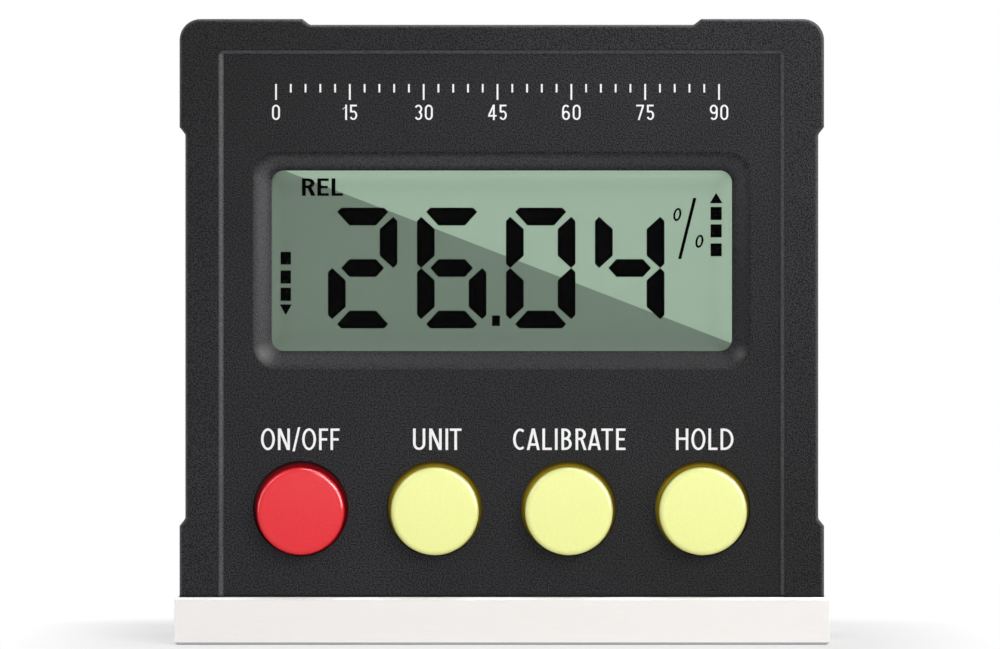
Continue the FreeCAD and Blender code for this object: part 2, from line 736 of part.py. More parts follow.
def cut_contact_slots(body):
    """Slots in the bulkhead for the tails of the two end contacts."""
    sketch = upright_sketch(body, "contact_slot_outline", BAY_FRONT_Y)
    for rise in SIDES:
        level = f"({BAY_LEVEL} + {rise} * {CELL_RISE})"
        half = "(dim.tail_width / 2 + dim.cell_clearance)"
        add_rectangle(sketch, f"({BAY_X} - dim.contact_thickness - dim.cell_clearance)", BAY_X,
                      f"({level} - {half})", f"({level} + {half})")
    pocket(body, "contact_slots", sketch, "dim.bay_wall", forward=True)


def make_rear_cover():
    """Rear shell with the battery bay, the door's channel and the screw posts."""
    body = new_piece("rear_cover")
    outline = upright_sketch(body, "outline", "0")
    add_polygon(outline, housing_outline())
    pad(body, "block", outline, "dim.housing_depth / 2", backward=True)
    round_housing(body, REAR_Y)
    hollow_cover(body, REAR_INNER_Y, forward=False)

    posts = upright_sketch(body, "post_outline", "0")
    for across, level in post_places():
        add_circle(posts, across, level, "dim.rear_post_radius")
    pad(body, "posts", posts, REAR_INNER_Y, backward=True)
    add_battery_bay(body)
    cut_door_channel(body)
    cut_contact_slots(body)
    cut_seam_rebate(body)

    holes = upright_sketch(body, "cover_screw_hole_outline", "0")
    for across, level in post_places():
        add_circle(holes, across, level, "dim.screw_radius + dim.screw_clearance")
    pocket(body, "cover_screw_holes", holes, REAR_Y)
    bores = upright_sketch(body, "counterbore_outline", COVER_SCREW_SEAT_Y)
    for across, level in post_places():
        add_circle(bores, across, level, "dim.counterbore_radius")
    pocket(body, "counterbores", bores, f"{REAR_Y} - {COVER_SCREW_SEAT_Y}")
    add_base_bosses(body, 1)
    cut_tongue_slot(body)
    return body


def make_battery_door():
    """Door that slides out sideways, with a tongue along its upper and lower edge."""
    body = new_piece("battery_door")
    gap = "dim.door_clearance"
    tongue_low = f"({BAY_LOW} - dim.door_tongue + {gap})"
    tongue_high = f"({BAY_HIGH} + dim.door_tongue - {gap})"
    plate_low = f"({BAY_LOW} + {gap})"
    plate_high = f"({BAY_HIGH} - {gap})"
    section = side_sketch(body, "section", f"-1 * {DOOR_END_X}")
    add_polygon(section, [
        (DOOR_INNER_Y, tongue_low),
        (DOOR_SHOULDER_Y, tongue_low),
        (DOOR_SHOULDER_Y, plate_low),
        (REAR_Y, plate_low),
        (REAR_Y, plate_high),
        (DOOR_SHOULDER_Y, plate_high),
        (DOOR_SHOULDER_Y, tongue_high),
        (DOOR_INNER_Y, tongue_high),
    ])
    pad(body, "panel", section, f"{DOOR_END_X} + {WAIST_X}")
    grip = upright_sketch(body, "grip_outline", REAR_Y)
    half = "(dim.grip_groove_length / 2)"
    for index in range(GRIP_GROOVES):
        right = f"({WAIST_X} - dim.grip_inset - {index} * dim.grip_groove_pitch)"
        add_rectangle(grip, f"({right} - dim.grip_groove_width)", right, f"({BAY_LEVEL} - {half})",
                      f"({BAY_LEVEL} + {half})")
    pocket(body, "grip_grooves", grip, "dim.grip_groove_depth", forward=True)
    return body


# -------------------------------------------------------------------------- base

def make_base_plate():
    """Metal base: a plate with a V-groove and a tongue that holds the magnets."""
    body = new_piece("base_plate")
    half_depth = "(dim.base_depth / 2)"
    half_opening = "(dim.groove_opening / 2)"
    half_floor = f"({GROOVE_FLOOR} / 2)"
    section = side_sketch(body, "section", "-1 * dim.base_width / 2")
    add_polygon(section, [
        (f"-1 * {half_depth}", "0"),
        (f"-1 * {half_opening}", "0"),
        (f"-1 * {half_floor}", "dim.groove_height"),
        (half_floor, "dim.groove_height"),
        (half_opening, "0"),
        (half_depth, "0"),
        (half_depth, "dim.base_thickness"),
        (f"-1 * {half_depth}", "dim.base_thickness"),
    ])
    pad(body, "plate", section, "dim.base_width")

    def is_outer_edge(edge):
        box = edge.BoundBox
        flat = is_level(edge, "z", 0) or is_level(edge, "z", value("dim.base_thickness"))
        middle = max(abs(box.YMin), abs(box.YMax)) < value(f"{half_depth} - dim.base_chamfer")
        return flat and not middle

    chamfer_edges(body, "edge_chamfer", is_outer_edge, "dim.base_chamfer")
    tongue = flat_sketch(body, "tongue_outline", "dim.base_thickness")
    half_width = "(dim.tongue_width / 2)"
    add_rectangle(tongue, f"-1 * {TONGUE_X}", TONGUE_X, f"-1 * {half_width}", half_width)
    pad(body, "tongue", tongue, "dim.tongue_height")

    magnets = flat_sketch(body, "magnet_bore_outline", "0")
    for step in MAGNET_STEPS:
        add_circle(magnets, f"{step} * {MAGNET_PITCH}", "0", "dim.magnet_radius + dim.magnet_clearance")
    pocket(body, "magnet_bores", magnets, f"{MAGNET_LOW} + dim.magnet_thickness", forward=True)

    before = body.Shape.Volume
    screws = flat_sketch(body, "screw_hole_outline", "0")
    for across in SIDES:
        for depth in SIDES:
            add_circle(screws, f"{across} * {BASE_SCREW_X}", f"{depth} * {BASE_SCREW_Y}", "dim.screw_radius")
    doc.recompute()
    holes = body.newObject("PartDesign::Hole", "screw_holes")
    holes.Profile = screws
    holes.Reversed = True
    holes.DepthType = "ThroughAll"
    holes.HoleCutType = "Countersink"
    holes.HoleCutCustomValues = True
    holes.HoleCutCountersinkAngle = 90
    holes.setExpression("Diameter", "2 * (dim.screw_radius + dim.screw_clearance)")
    holes.setExpression("HoleCutDiameter", "2 * (dim.screw_head_radius + dim.screw_clearance)")
    doc.recompute()
    check_cut(body, "screw_holes", before)
    return body


def make_base_magnets():
    """Three round magnets in the bores above the groove."""
    magnets = []
    for number, step in enumerate(MAGNET_STEPS, start=1):
        magnet = doc.addObject("Part::Cylinder", f"base_magnet_{number}")
        magnet.setExpression("Radius", "dim.magnet_radius")
        magnet.setExpression("Height", "dim.magnet_thickness")
        place(magnet, f"{step} * {MAGNET_PITCH}", "0", MAGNET_LOW)
        magnets.append(magnet)
    return group("base_magnets", magnets)


# ------------------------------------------------------------------------ screws

def make_screw(name, length, countersunk):
    """A screw along its own Z: the face of the head at Z = 0, the shank above it."""
    body = new_body(name)
    profile = new_sketch(body, "profile", "XZ_Plane", "0")
    head = "dim.screw_head_radius"
    shank = "dim.screw_radius"
    if countersunk:
        under_head = f"({head} - {shank})"
        corners = [("0", "0"), (head, "0"), (shank, under_head), (shank, length), ("0", length)]
    else:
        rise = "dim.screw_head_height"
        corners = [("0", "0"), (head, "0"), (head, rise), (shank, rise),
                   (shank, f"({rise} + {length})"), ("0", f"({rise} + {length})")]
    add_polygon(profile, corners)
    revolve(body, "turned", profile, "V_Axis")
    cross = flat_sketch(body, "cross_outline", "0")
    arm = "dim.cross_arm"
    web = "dim.cross_web"
    quarter = [(arm, web), (web, web), (web, arm)]
    outline = []
    for _ in range(4):
        outline += quarter
        quarter = [(f"-1 * {up}", across) for across, up in quarter]
    add_polygon(cross, outline)
    pocket(body, "cross_recess", cross, "dim.cross_depth", forward=True)
    return body


def make_base_screws():
    """Four countersunk screws through the base into the covers."""
    screws = []
    for across in SIDES:
        for depth in SIDES:
            screw = make_screw(f"base_screw_{len(screws) + 1}", "dim.base_screw_length", True)
            place(screw, f"{across} * {BASE_SCREW_X}", f"{depth} * {BASE_SCREW_Y}", "dim.screw_clearance")
            screws.append(screw)
    return group("base_screws", screws)


def make_cover_screws():
    """Four screws from the back through the rear cover into the front cover."""
    screws = []
    for across, level in post_places():
        screw = make_screw(f"cover_screw_{len(screws) + 1}", "dim.cover_screw_length", False)
        screw.Placement.Rotation = Rotation(Vector(1, 0, 0), 90)
        place(screw, across, f"({COVER_SCREW_SEAT_Y} + dim.screw_head_height)", level)
        screws.append(screw)
    return group("cover_screws", screws)


def make_board_screws():
    """Four screws that hold the main board on the bosses of the front cover."""
    screws = []
    for across, level in board_screw_places():
        screw = make_screw(f"board_screw_{len(screws) + 1}", "dim.board_screw_length", False)
        screw.Placement.Rotation = Rotation(Vector(1, 0, 0), 90)
        place(screw, across, f"({BOARD_BACK_Y} + dim.screw_head_height)", level)
        screws.append(screw)
    return group("board_screws", screws)


# ----------------------------------------------------------------------- display

def make_window_slab(name, width, height, radius, back, thickness):
    """A flat round-cornered slab behind the window, given by its back face."""
    body = new_piece(name)
    sketch = upright_sketch(body, "outline", back)
    add_round_rectangle(sketch, WINDOW_LEVEL, width, height, radius)
    pad(body, "slab", sketch, thickness)
    return body


def make_lens_gasket():
    """Adhesive ring between the cover and the lens."""
    body = new_piece("lens_gasket")
    sketch = upright_sketch(body, "outline", LENS_FRONT_Y)
    add_round_rectangle(sketch, WINDOW_LEVEL, LENS_WIDTH, LENS_HEIGHT, "dim.window_radius")
    inner_radius = "(dim.window_radius / 2)"
    add_round_rectangle(sketch, WINDOW_LEVEL, f"({LENS_WIDTH} - 2 * dim.gasket_width)",
                        f"({LENS_HEIGHT} - 2 * dim.gasket_width)", inner_radius)
    pad(body, "ring", sketch, "dim.gasket_thickness")
    return body


def make_lcd_frame():
    """Plastic frame that holds the display on the board, with four pegs."""
    body = new_piece("lcd_frame")
    radius = "dim.window_radius"
    outline = upright_sketch(body, "outline", BOARD_FRONT_Y)
    add_round_rectangle(outline, WINDOW_LEVEL, FRAME_WIDTH, FRAME_HEIGHT, radius)
    pad(body, "block", outline, f"{BOARD_FRONT_Y} - {LENS_BACK_Y} - dim.frame_gap")
    room = upright_sketch(body, "room_outline", LCD_FRONT_Y)
    add_round_rectangle(room, WINDOW_LEVEL, FRAME_INNER_WIDTH, FRAME_INNER_HEIGHT, "dim.frame_lip")
    pocket(body, "room", room, f"{BOARD_FRONT_Y} - {LCD_FRONT_Y}")
    mouth = upright_sketch(body, "mouth_outline", LENS_FRONT_Y)
    add_round_rectangle(mouth, WINDOW_LEVEL, f"({LCD_WIDTH} - 2 * dim.frame_lip)",
                        f"({LCD_HEIGHT} - 2 * dim.frame_lip)", "dim.frame_lip")
    pocket(body, "mouth", mouth, f"{BOARD_FRONT_Y} - {LENS_FRONT_Y}")
    pegs = upright_sketch(body, "peg_outline", BOARD_FRONT_Y)
    for across, level in peg_places():
        add_circle(pegs, across, level, "dim.peg_radius")
    pad(body, "pegs", pegs, "dim.board_thickness", backward=True)
    return body


def peg_places():
    """Where the pegs of the display frame stand, as pairs of expressions."""
    return [(f"{side} * {PEG_X}", f"({WINDOW_LEVEL} + {rise} * {PEG_RISE})")
            for side in SIDES for rise in SIDES]


def make_zebra_strips():
    """Two rubber connectors between the display and the board."""
    strips = []
    for name, rise in (("lower_zebra_strip", -1), ("upper_zebra_strip", 1)):
        strip = doc.addObject("Part::Box", name)
        strip.setExpression("Length", LCD_WIDTH)
        strip.setExpression("Width", f"{BOARD_FRONT_Y} - {LCD_BACK_Y}")
        strip.setExpression("Height", "dim.zebra_thickness")
        level = f"({WINDOW_LEVEL} + {rise} * ({LCD_HEIGHT} - dim.zebra_thickness) / 2)"
        place(strip, f"-1 * {LCD_WIDTH} / 2", LCD_BACK_Y, f"{level} - dim.zebra_thickness / 2")
        strips.append(strip)
    return group("zebra_strips", strips)


def make_display():
    """Lens, gasket, cell, back sheet, frame and connectors of the display."""
    make_window_slab("display_lens", LENS_WIDTH, LENS_HEIGHT, "dim.window_radius", LENS_BACK_Y,
                     "dim.lens_thickness")
    make_lens_gasket()
    make_window_slab("lcd_cell", LCD_WIDTH, LCD_HEIGHT, "dim.frame_lip", LCD_BACK_Y, "dim.lcd_thickness")
    make_window_slab("lcd_reflector", WINDOW_WIDTH, WINDOW_HEIGHT, "dim.frame_lip",
                     f"({LCD_BACK_Y} + dim.reflector_thickness)", "dim.reflector_thickness")
    make_lcd_frame()
    make_zebra_strips()


# ------------------------------------------------------------------------- board

def board_outline():
    """Corners of the main board, notched round the posts of the front cover."""
    wide = f"({CAVITY_X} - dim.board_margin)"
    narrow = f"({POST_X} - dim.front_post_radius - dim.board_clearance)"
    low = f"({TONGUE_TOP} + dim.board_clearance)"
    notch_low = f"({POST_LOW} + dim.front_post_radius + dim.board_clearance)"
    notch_high = f"({POST_HIGH} - dim.front_post_radius - dim.board_clearance)"
    high = f"({CAVITY_HIGH} - dim.board_margin)"
    right = [(narrow, low), (narrow, notch_low), (wide, notch_low),
             (wide, notch_high), (narrow, notch_high), (narrow, high)]
    left = [(f"-1 * {across}", up) for across, up in reversed(right)]
    return right + left


def make_main_board():
    """Printed circuit board behind the display and the buttons."""
    body = new_piece("main_board")
    outline = upright_sketch(body, "outline", BOARD_BACK_Y)
    add_polygon(outline, board_outline())
    pad(body, "sheet", outline, "dim.board_thickness")
    holes = upright_sketch(body, "hole_outline", BOARD_FRONT_Y)
    for across, level in board_screw_places():
        add_circle(holes, across, level, "dim.screw_radius + dim.screw_clearance")
    for across, level in peg_places():
        add_circle(holes, across, level, "dim.peg_radius + dim.peg_clearance")
    pocket(body, "holes", holes, "dim.board_thickness")
    return body


def make_board_part(name, across, level, width, depth, height):
    """A square-cornered part soldered on the back of the board."""
    chip = doc.addObject("Part::Box", name)
    chip.Label = name
    chip.setExpression("Length", width)
    chip.setExpression("Width", depth)
    chip.setExpression("Height", height)
    place(chip, f"{across} - {width} / 2", BOARD_BACK_Y, f"{level} - {height} / 2")
    pieces.append(chip)
    return chip


def make_board_parts():
    """The controller, the tilt sensor, the crystal and the supply capacitor."""
    controller = "dim.controller_width"
    controller_level = f"({CAVITY_HIGH} - dim.controller_drop)"
    make_board_part("controller_chip", "0", controller_level, controller, "dim.controller_height",
                    controller)
    sensor = "dim.sensor_width"
    sensor_level = "(dim.base_thickness + dim.sensor_rise)"
    make_board_part("tilt_sensor", "0", sensor_level, sensor, "dim.sensor_height", sensor)

    crystal = doc.addObject("Part::Cylinder", "crystal")
    crystal.Label = "crystal"
    crystal.setExpression("Radius", "dim.crystal_radius")
    crystal.setExpression("Height", "dim.crystal_length")
    place(crystal, "-1 * dim.crystal_offset", f"{BOARD_BACK_Y} + dim.crystal_radius",
          f"{controller_level} - dim.crystal_length / 2")
    pieces.append(crystal)

    capacitor = doc.addObject("Part::Cylinder", "supply_capacitor")
    capacitor.Label = "supply_capacitor"
    capacitor.Placement.Rotation = Rotation(Vector(1, 0, 0), -90)
    capacitor.setExpression("Radius", "dim.capacitor_radius")
    capacitor.setExpression("Height", f"{BULKHEAD_FRONT_Y} - {BOARD_BACK_Y} - dim.capacitor_gap")
    place(capacitor, "dim.capacitor_offset", BOARD_BACK_Y, controller_level)
    pieces.append(capacitor)


# ----------------------------------------------------------------------- buttons

def make_turned(body, corners):
    """A body turned about its own Z from a profile of radius and height."""
    profile = new_sketch(body, "profile", "XZ_Plane", "0")
    add_polygon(profile, corners)
    revolve(body, "turned", profile, "V_Axis")
    body.Placement.Rotation = Rotation(Vector(1, 0, 0), 90)


def make_button(name, across):
    """A button cap with the flange that keeps it behind the cover."""
    body = new_piece(f"{name}_button")
    face = f"({PLUNGER_FRONT_Y} - {CAP_FRONT_Y})"
    flange_front = f"({PLUNGER_FRONT_Y} - {FLANGE_FRONT_Y})"
    flange_back = f"({flange_front} - dim.button_flange_thickness)"
    make_turned(body, [
        ("0", "0"),
        ("dim.button_boss_radius", "0"),
        ("dim.button_boss_radius", flange_back),
        (FLANGE_RADIUS, flange_back),
        (FLANGE_RADIUS, flange_front),
        (CAP_RADIUS, flange_front),
        (CAP_RADIUS, face),
        ("0", face),
    ])

    def is_rim(edge):
        return is_level(edge, "z", value(face))

    # The rim is level while the button still stands on its back.
    body.Placement = FreeCAD.Placement()
    round_edges(body, "face_round", is_rim, "dim.button_round")
    body.Placement.Rotation = Rotation(Vector(1, 0, 0), 90)
    place(body, across, PLUNGER_FRONT_Y, CAP_LEVEL)
    return body


def make_switch(name, across):
    """The housing of a push switch, soldered to the board behind its button."""
    body = new_piece(f"{name}_switch")
    half = "(dim.switch_width / 2)"
    outline = upright_sketch(body, "outline", "0")
    add_rectangle(outline, f"-1 * {half}", half, f"-1 * {half}", half)
    pad(body, "block", outline, "dim.switch_height")
    room = upright_sketch(body, "room_outline", f"{SWITCH_ROOM_BACK_Y} - {BOARD_FRONT_Y}")
    add_circle(room, "0", "0", SWITCH_ROOM_RADIUS)
    pocket(body, "room", room, f"{SWITCH_ROOM_BACK_Y} - {SWITCH_ROOM_FRONT_Y}", forward=True)
    mouth = upright_sketch(body, "mouth_outline", f"{SWITCH_ROOM_BACK_Y} - {BOARD_FRONT_Y}")
    add_circle(mouth, "0", "0", "dim.plunger_radius + dim.plunger_clearance")
    pocket(body, "mouth", mouth, "dim.switch_height", forward=True)
    place(body, across, BOARD_FRONT_Y, CAP_LEVEL)
    return body


def make_plunger(name, across):
    """The plunger inside a switch, which the button pushes on to the snap dome."""
    body = new_piece(f"{name}_plunger")
    foot = f"({DOME_TOP_Y} - {SWITCH_ROOM_FRONT_Y})"
    flange = "(dim.plunger_flange + dim.plunger_clearance)"
    flange_radius = f"({SWITCH_ROOM_RADIUS} - dim.plunger_clearance)"
    top = "(dim.plunger_stand + dim.switch_wall)"
    make_turned(body, [
        ("0", f"-1 * {foot}"),
        ("dim.plunger_radius / 2", f"-1 * {foot}"),
        ("dim.plunger_radius / 2", f"-1 * {flange}"),
        (flange_radius, f"-1 * {flange}"),
        (flange_radius, "-1 * dim.plunger_clearance"),
        ("dim.plunger_radius", "-1 * dim.plunger_clearance"),
        ("dim.plunger_radius", top),
        ("0", top),
    ])
    place(body, across, SWITCH_ROOM_FRONT_Y, CAP_LEVEL)
    return body


def make_snap_dome(name, across):
    """A thin steel dome on the floor of a switch."""
    body = new_piece(f"{name}_dome")
    profile = new_sketch(body, "profile", "XZ_Plane", "0")
    reach = f"({SWITCH_ROOM_RADIUS} - dim.plunger_clearance)"
    add_polygon(profile, [
        ("0", "(dim.dome_height - dim.dome_thickness)"),
        (f"({reach} / 2)", "(dim.dome_shoulder - dim.dome_thickness)"),
        (reach, "0"),
        (reach, "dim.dome_thickness"),
        (f"({reach} / 2)", "dim.dome_shoulder"),
        ("0", "dim.dome_height"),
    ])
    revolve(body, "turned", profile, "V_Axis")
    body.Placement.Rotation = Rotation(Vector(1, 0, 0), 90)
    place(body, across, SWITCH_ROOM_BACK_Y, CAP_LEVEL)
    return body


def make_buttons():
    """The four buttons with their switches, plungers and snap domes."""
    for index, name in enumerate(BUTTON_NAMES):
        across = button_x(index)
        make_button(name, across)
        make_switch(name, across)
        make_plunger(name, across)
        make_snap_dome(name, across)


# --------------------------------------------------------------------- batteries

def make_cell(name, rise, heading):
    """A cell along X whose positive end points in the given direction."""
    body = new_piece(name)
    profile = new_sketch(body, "profile", "XZ_Plane", "0")
    can = f"({CELL_LENGTH} - dim.cell_nipple_length)"
    add_polygon(profile, [
        ("0", "0"),
        ("0", "dim.cell_radius"),
        (can, "dim.cell_radius"),
        (can, "dim.cell_nipple_radius"),
        (CELL_LENGTH, "dim.cell_nipple_radius"),
        (CELL_LENGTH, "0"),
    ])
    revolve(body, "turned", profile, "H_Axis")

    def is_can_end(edge):
        return close(edge.BoundBox.YLength, value("2 * dim.cell_radius"))

    round_edges(body, "can_rounds", is_can_end, "dim.cell_nipple_length / 2")
    if heading < 0:
        body.Placement.Rotation = Rotation(Vector(0, 0, 1), 180)
    start = f"(-1 * {heading} * ({BAY_X} - dim.contact_thickness - dim.spring_length))"
    place(body, start, CELL_Y, f"{BAY_LEVEL} + {rise} * {CELL_RISE}")
    return body


def make_contact(name, side, low, high, with_tail):
    """A contact plate on one end wall of the bay, between two levels."""
    body = new_piece(name)
    left = f"({side} * {BAY_X} - {(1 + side) // 2} * dim.contact_thickness)"
    half = "(dim.contact_width / 2)"
    plate = side_sketch(body, "outline", left)
    add_rectangle(plate, f"({CELL_Y} - {half})", f"({CELL_Y} + {half})", low, high)
    pad(body, "plate", plate, "dim.contact_thickness")
    if with_tail:
        tail = side_sketch(body, "tail_outline", left)
        middle = f"(({low} + {high}) / 2)"
        add_rectangle(tail, BOARD_BACK_Y, CELL_Y, f"({middle} - dim.tail_width / 2)",
                      f"({middle} + dim.tail_width / 2)")
        pad(body, "tail", tail, "dim.contact_thickness")
    return body


def make_spring(name, side, rise):
    """A coil between a contact plate and the flat end of a cell."""
    end_gap = "(dim.spring_wire_radius + dim.spring_clearance)"
    path = doc.addObject("Part::Helix", f"{name}_path")
    path.setExpression("Radius", "dim.spring_radius")
    path.setExpression("Height", f"dim.spring_length - 2 * {end_gap}")
    path.setExpression("Pitch", f"(dim.spring_length - 2 * {end_gap}) / dim.spring_turns")
    body = new_piece(name)
    wire = new_sketch(body, "wire", "XZ_Plane", "0")
    add_circle(wire, "dim.spring_radius", "0", "dim.spring_wire_radius")
    coil = body.newObject("PartDesign::AdditivePipe", "coil")
    coil.Profile = wire
    coil.Spine = path
    coil.Mode = "Frenet"
    doc.recompute()
    body.Placement.Rotation = Rotation(Vector(0, 1, 0), -90 * side)
    place(body, f"{side} * ({BAY_X} - dim.contact_thickness - {end_gap})", CELL_Y,
          f"{BAY_LEVEL} + {rise} * {CELL_RISE}")
    return body


def make_batteries():
    """Two cells side by side, in series, with their contacts."""
    make_cell("lower_battery", -1, 1)
    make_cell("upper_battery", 1, -1)
    half = "(dim.contact_width / 2)"
    lower = f"({BAY_LEVEL} - {CELL_RISE})"
    upper = f"({BAY_LEVEL} + {CELL_RISE})"
    make_contact("battery_link", -1, f"({lower} - {half})", f"({upper} + {half})", False)
    make_contact("positive_contact", 1, f"({lower} - {half})", f"({lower} + {half})", True)
    make_contact("negative_contact", 1, f"({upper} - {half})", f"({upper} + {half})", True)
    make_spring("link_spring", -1, -1)
    make_spring("negative_spring", 1, 1)


# ------------------------------------------------------------------------- build

def check_document():
    """Stops when any object of the document failed or any piece is no valid shape."""
    for item in doc.Objects:
        if {"Invalid", "Error"} & set(item.State):
            raise RuntimeError(f"{item.Label} failed: {item.State}")
    for piece in pieces:
        if piece.Shape.isNull() or not piece.Shape.isValid() or not piece.Shape.Solids:
            raise RuntimeError(f"{piece.Label} is not a valid solid")


def write_parts():
    """One STEP file for each piece."""
    os.makedirs("parts", exist_ok=True)
    for piece in pieces:
        piece.Shape.exportStep(f"parts/{piece.Label}.step")


make_front_cover()
make_rear_cover()
make_battery_door()
make_base_plate()
make_base_magnets()
make_base_screws()
make_cover_screws()
make_display()
make_main_board()
make_board_screws()
make_board_parts()
make_buttons()
make_batteries()
doc.recompute()
check_document()
write_parts()
print(f"{len(pieces)} pieces written")
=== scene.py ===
"""Dresses the inclinometer: materials, printed marks, display segments, floor, light and camera."""

import json
import math

import bmesh
import bpy
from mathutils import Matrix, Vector


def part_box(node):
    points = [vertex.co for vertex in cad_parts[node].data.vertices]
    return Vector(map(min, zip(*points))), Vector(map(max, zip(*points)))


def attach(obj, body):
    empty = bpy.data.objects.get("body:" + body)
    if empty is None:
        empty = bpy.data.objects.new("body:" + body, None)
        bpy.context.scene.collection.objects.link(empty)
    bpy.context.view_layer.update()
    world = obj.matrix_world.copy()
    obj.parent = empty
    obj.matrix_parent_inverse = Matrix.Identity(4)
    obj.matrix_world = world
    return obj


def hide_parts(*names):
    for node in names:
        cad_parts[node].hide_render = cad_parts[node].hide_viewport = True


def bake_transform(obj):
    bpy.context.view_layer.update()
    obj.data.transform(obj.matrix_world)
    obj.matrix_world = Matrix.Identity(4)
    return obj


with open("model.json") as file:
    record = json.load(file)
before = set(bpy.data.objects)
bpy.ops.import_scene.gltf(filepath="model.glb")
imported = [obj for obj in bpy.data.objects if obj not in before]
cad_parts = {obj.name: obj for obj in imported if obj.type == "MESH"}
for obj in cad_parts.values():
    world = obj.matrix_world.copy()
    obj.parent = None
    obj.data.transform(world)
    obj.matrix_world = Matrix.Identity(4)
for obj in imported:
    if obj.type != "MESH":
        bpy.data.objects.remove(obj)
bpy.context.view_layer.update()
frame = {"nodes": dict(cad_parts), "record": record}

MM = 0.001
SIDES = (-1, 1)

base_low, base_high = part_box("base_plate")
door_low, door_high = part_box("battery_door")
front_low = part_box("front_cover")[0]
key_low, key_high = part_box("power_button")

# How far the panel lies behind the rim, and the window behind the panel.
PANEL_DEPTH = 0.4 * MM
BEZEL_DEPTH = 1.15 * MM

# Planes of the model, front to back, along Y.
KEY_FACE_Y = key_low.y
RIM_Y = front_low.y
PANEL_Y = RIM_Y + PANEL_DEPTH
WINDOW_FRONT_Y = PANEL_Y + BEZEL_DEPTH
LCD_FACE_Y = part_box("lcd_cell")[0].y
KEY_BACK_Y = key_high.y
SEAM_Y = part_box("rear_cover")[0].y
DOOR_Y = door_high.y

# The level where the covers stand on the base.
BASE_TOP_Z = front_low.z

# The pixels of the base's length, of the object's middle and of its foot, and one pixel's width.
BASE_PIXELS = 654.0
MIDDLE_PIXEL = 501.8
FOOT_PIXEL = 644.5
PHOTO_WIDTH = 1000
PHOTO_HEIGHT = 649
PIXEL = (base_high.x - base_low.x) / BASE_PIXELS

# The camera faces the panel squarely, at the middle of the picture.
CAMERA_DISTANCE = 0.5
CAMERA_X = (PHOTO_WIDTH / 2 - MIDDLE_PIXEL) * PIXEL
CAMERA_Z = (FOOT_PIXEL - PHOTO_HEIGHT / 2) * PIXEL

# The four keys stand in a row, a pitch apart, in round holes.
KEY_LEVEL = (key_low.z + key_high.z) / 2
KEY_PITCH = 12.7 * MM
CAP_RADIUS = 4.17 * MM
KEY_HOLE_RADIUS = 4.525 * MM


def pixel_at(y):
    """The width of one pixel at a depth."""
    return PIXEL * (1 + (y - PANEL_Y) / CAMERA_DISTANCE)


def across(pixel, y=PANEL_Y):
    """The X of what lies at a depth and shows in a pixel column of the photograph."""
    return CAMERA_X + (pixel - PHOTO_WIDTH / 2) * pixel_at(y)


def level(pixel, y=PANEL_Y):
    """The Z of what lies at a depth and shows in a pixel row of the photograph."""
    return CAMERA_Z + (PHOTO_HEIGHT / 2 - pixel) * pixel_at(y)


def column_of(pixel):
    """The X of a pixel column on the display's face."""
    return across(pixel, LCD_FACE_Y)


def row_of(pixel):
    """The Z of a pixel row on the display's face."""
    return level(pixel, LCD_FACE_Y)


# --- node helpers

def new_material(name):
    """A material with a Principled shader, and its node tree."""
    material = bpy.data.materials.new(name)
    material.use_nodes = True
    return material, material.node_tree


def shader_of(tree):
    return tree.nodes["Principled BSDF"]


def set_values(node, **values):
    """Sets plain values on a node's sockets. An underscore in a name stands for a space."""
    for name, value in values.items():
        node.inputs[name.replace("_", " ")].default_value = value


def set_shader(tree, **values):
    set_values(shader_of(tree), **values)


def add_node(tree, kind, **values):
    """A new node of a kind, with plain values on its sockets."""
    node = tree.nodes.new(kind)
    set_values(node, **values)
    return node


def object_coordinates(tree, stretch=(1.0, 1.0, 1.0)):
    """Coordinates fixed to the object, in metres, stretched along its axes."""
    place = tree.nodes.new("ShaderNodeTexCoord")
    mapping = add_node(tree, "ShaderNodeMapping", Scale=stretch)
    tree.links.new(place.outputs["Object"], mapping.inputs["Vector"])
    return mapping.outputs["Vector"]


def noise(tree, size, detail=3.0, stretch=(1.0, 1.0, 1.0)):
    """A noise whose grains are about size metres across."""
    node = add_node(tree, "ShaderNodeTexNoise", Scale=1.0 / size, Detail=detail)
    tree.links.new(object_coordinates(tree, stretch), node.inputs["Vector"])
    return node.outputs["Fac"]


def cells(tree, size):
    """Distances in a field of rounded cells about size metres across."""
    node = add_node(tree, "ShaderNodeTexVoronoi", Scale=1.0 / size)
    tree.links.new(object_coordinates(tree), node.inputs["Vector"])
    return node.outputs["Distance"]


def span(tree, source, low, high, start=0.0, end=1.0):
    """Maps source from start..end to low..high, and holds it there outside."""
    node = add_node(tree, "ShaderNodeMapRange", From_Min=start, From_Max=end, To_Min=low, To_Max=high)
    tree.links.new(source, node.inputs["Value"])
    return node.outputs["Result"]


def blend(tree, factor, first, second):
    """Mixes two colours. Each may be a plain colour or a socket."""
    node = tree.nodes.new("ShaderNodeMix")
    node.data_type = "RGBA"
    tree.links.new(factor, node.inputs["Factor"])
    for name, colour in (("A", first), ("B", second)):
        socket = [s for s in node.inputs if s.name == name and s.type == "RGBA"][0]
        if isinstance(colour, bpy.types.NodeSocket):
            tree.links.new(colour, socket)
        else:
            socket.default_value = (*colour, 1.0)
    return [s for s in node.outputs if s.type == "RGBA"][0]


def sums(tree, operation, first, second=0.0):
    """One step of arithmetic between sockets or plain numbers."""
    node = tree.nodes.new("ShaderNodeMath")
    node.operation = operation
    for socket, value in zip(node.inputs, (first, second)):
        if isinstance(value, bpy.types.NodeSocket):
            tree.links.new(value, socket)
        else:
            socket.default_value = value
    return node.outputs["Value"]


def minus(tree, first, second):
    return sums(tree, "SUBTRACT", first, second)


def times(tree, first, second):
    return sums(tree, "MULTIPLY", first, second)


def most(tree, values):
    """The greatest of the values, or 0 where all are below it."""
    greatest = 0.0
    for value in values:
        greatest = sums(tree, "MAXIMUM", greatest, value)
    return greatest


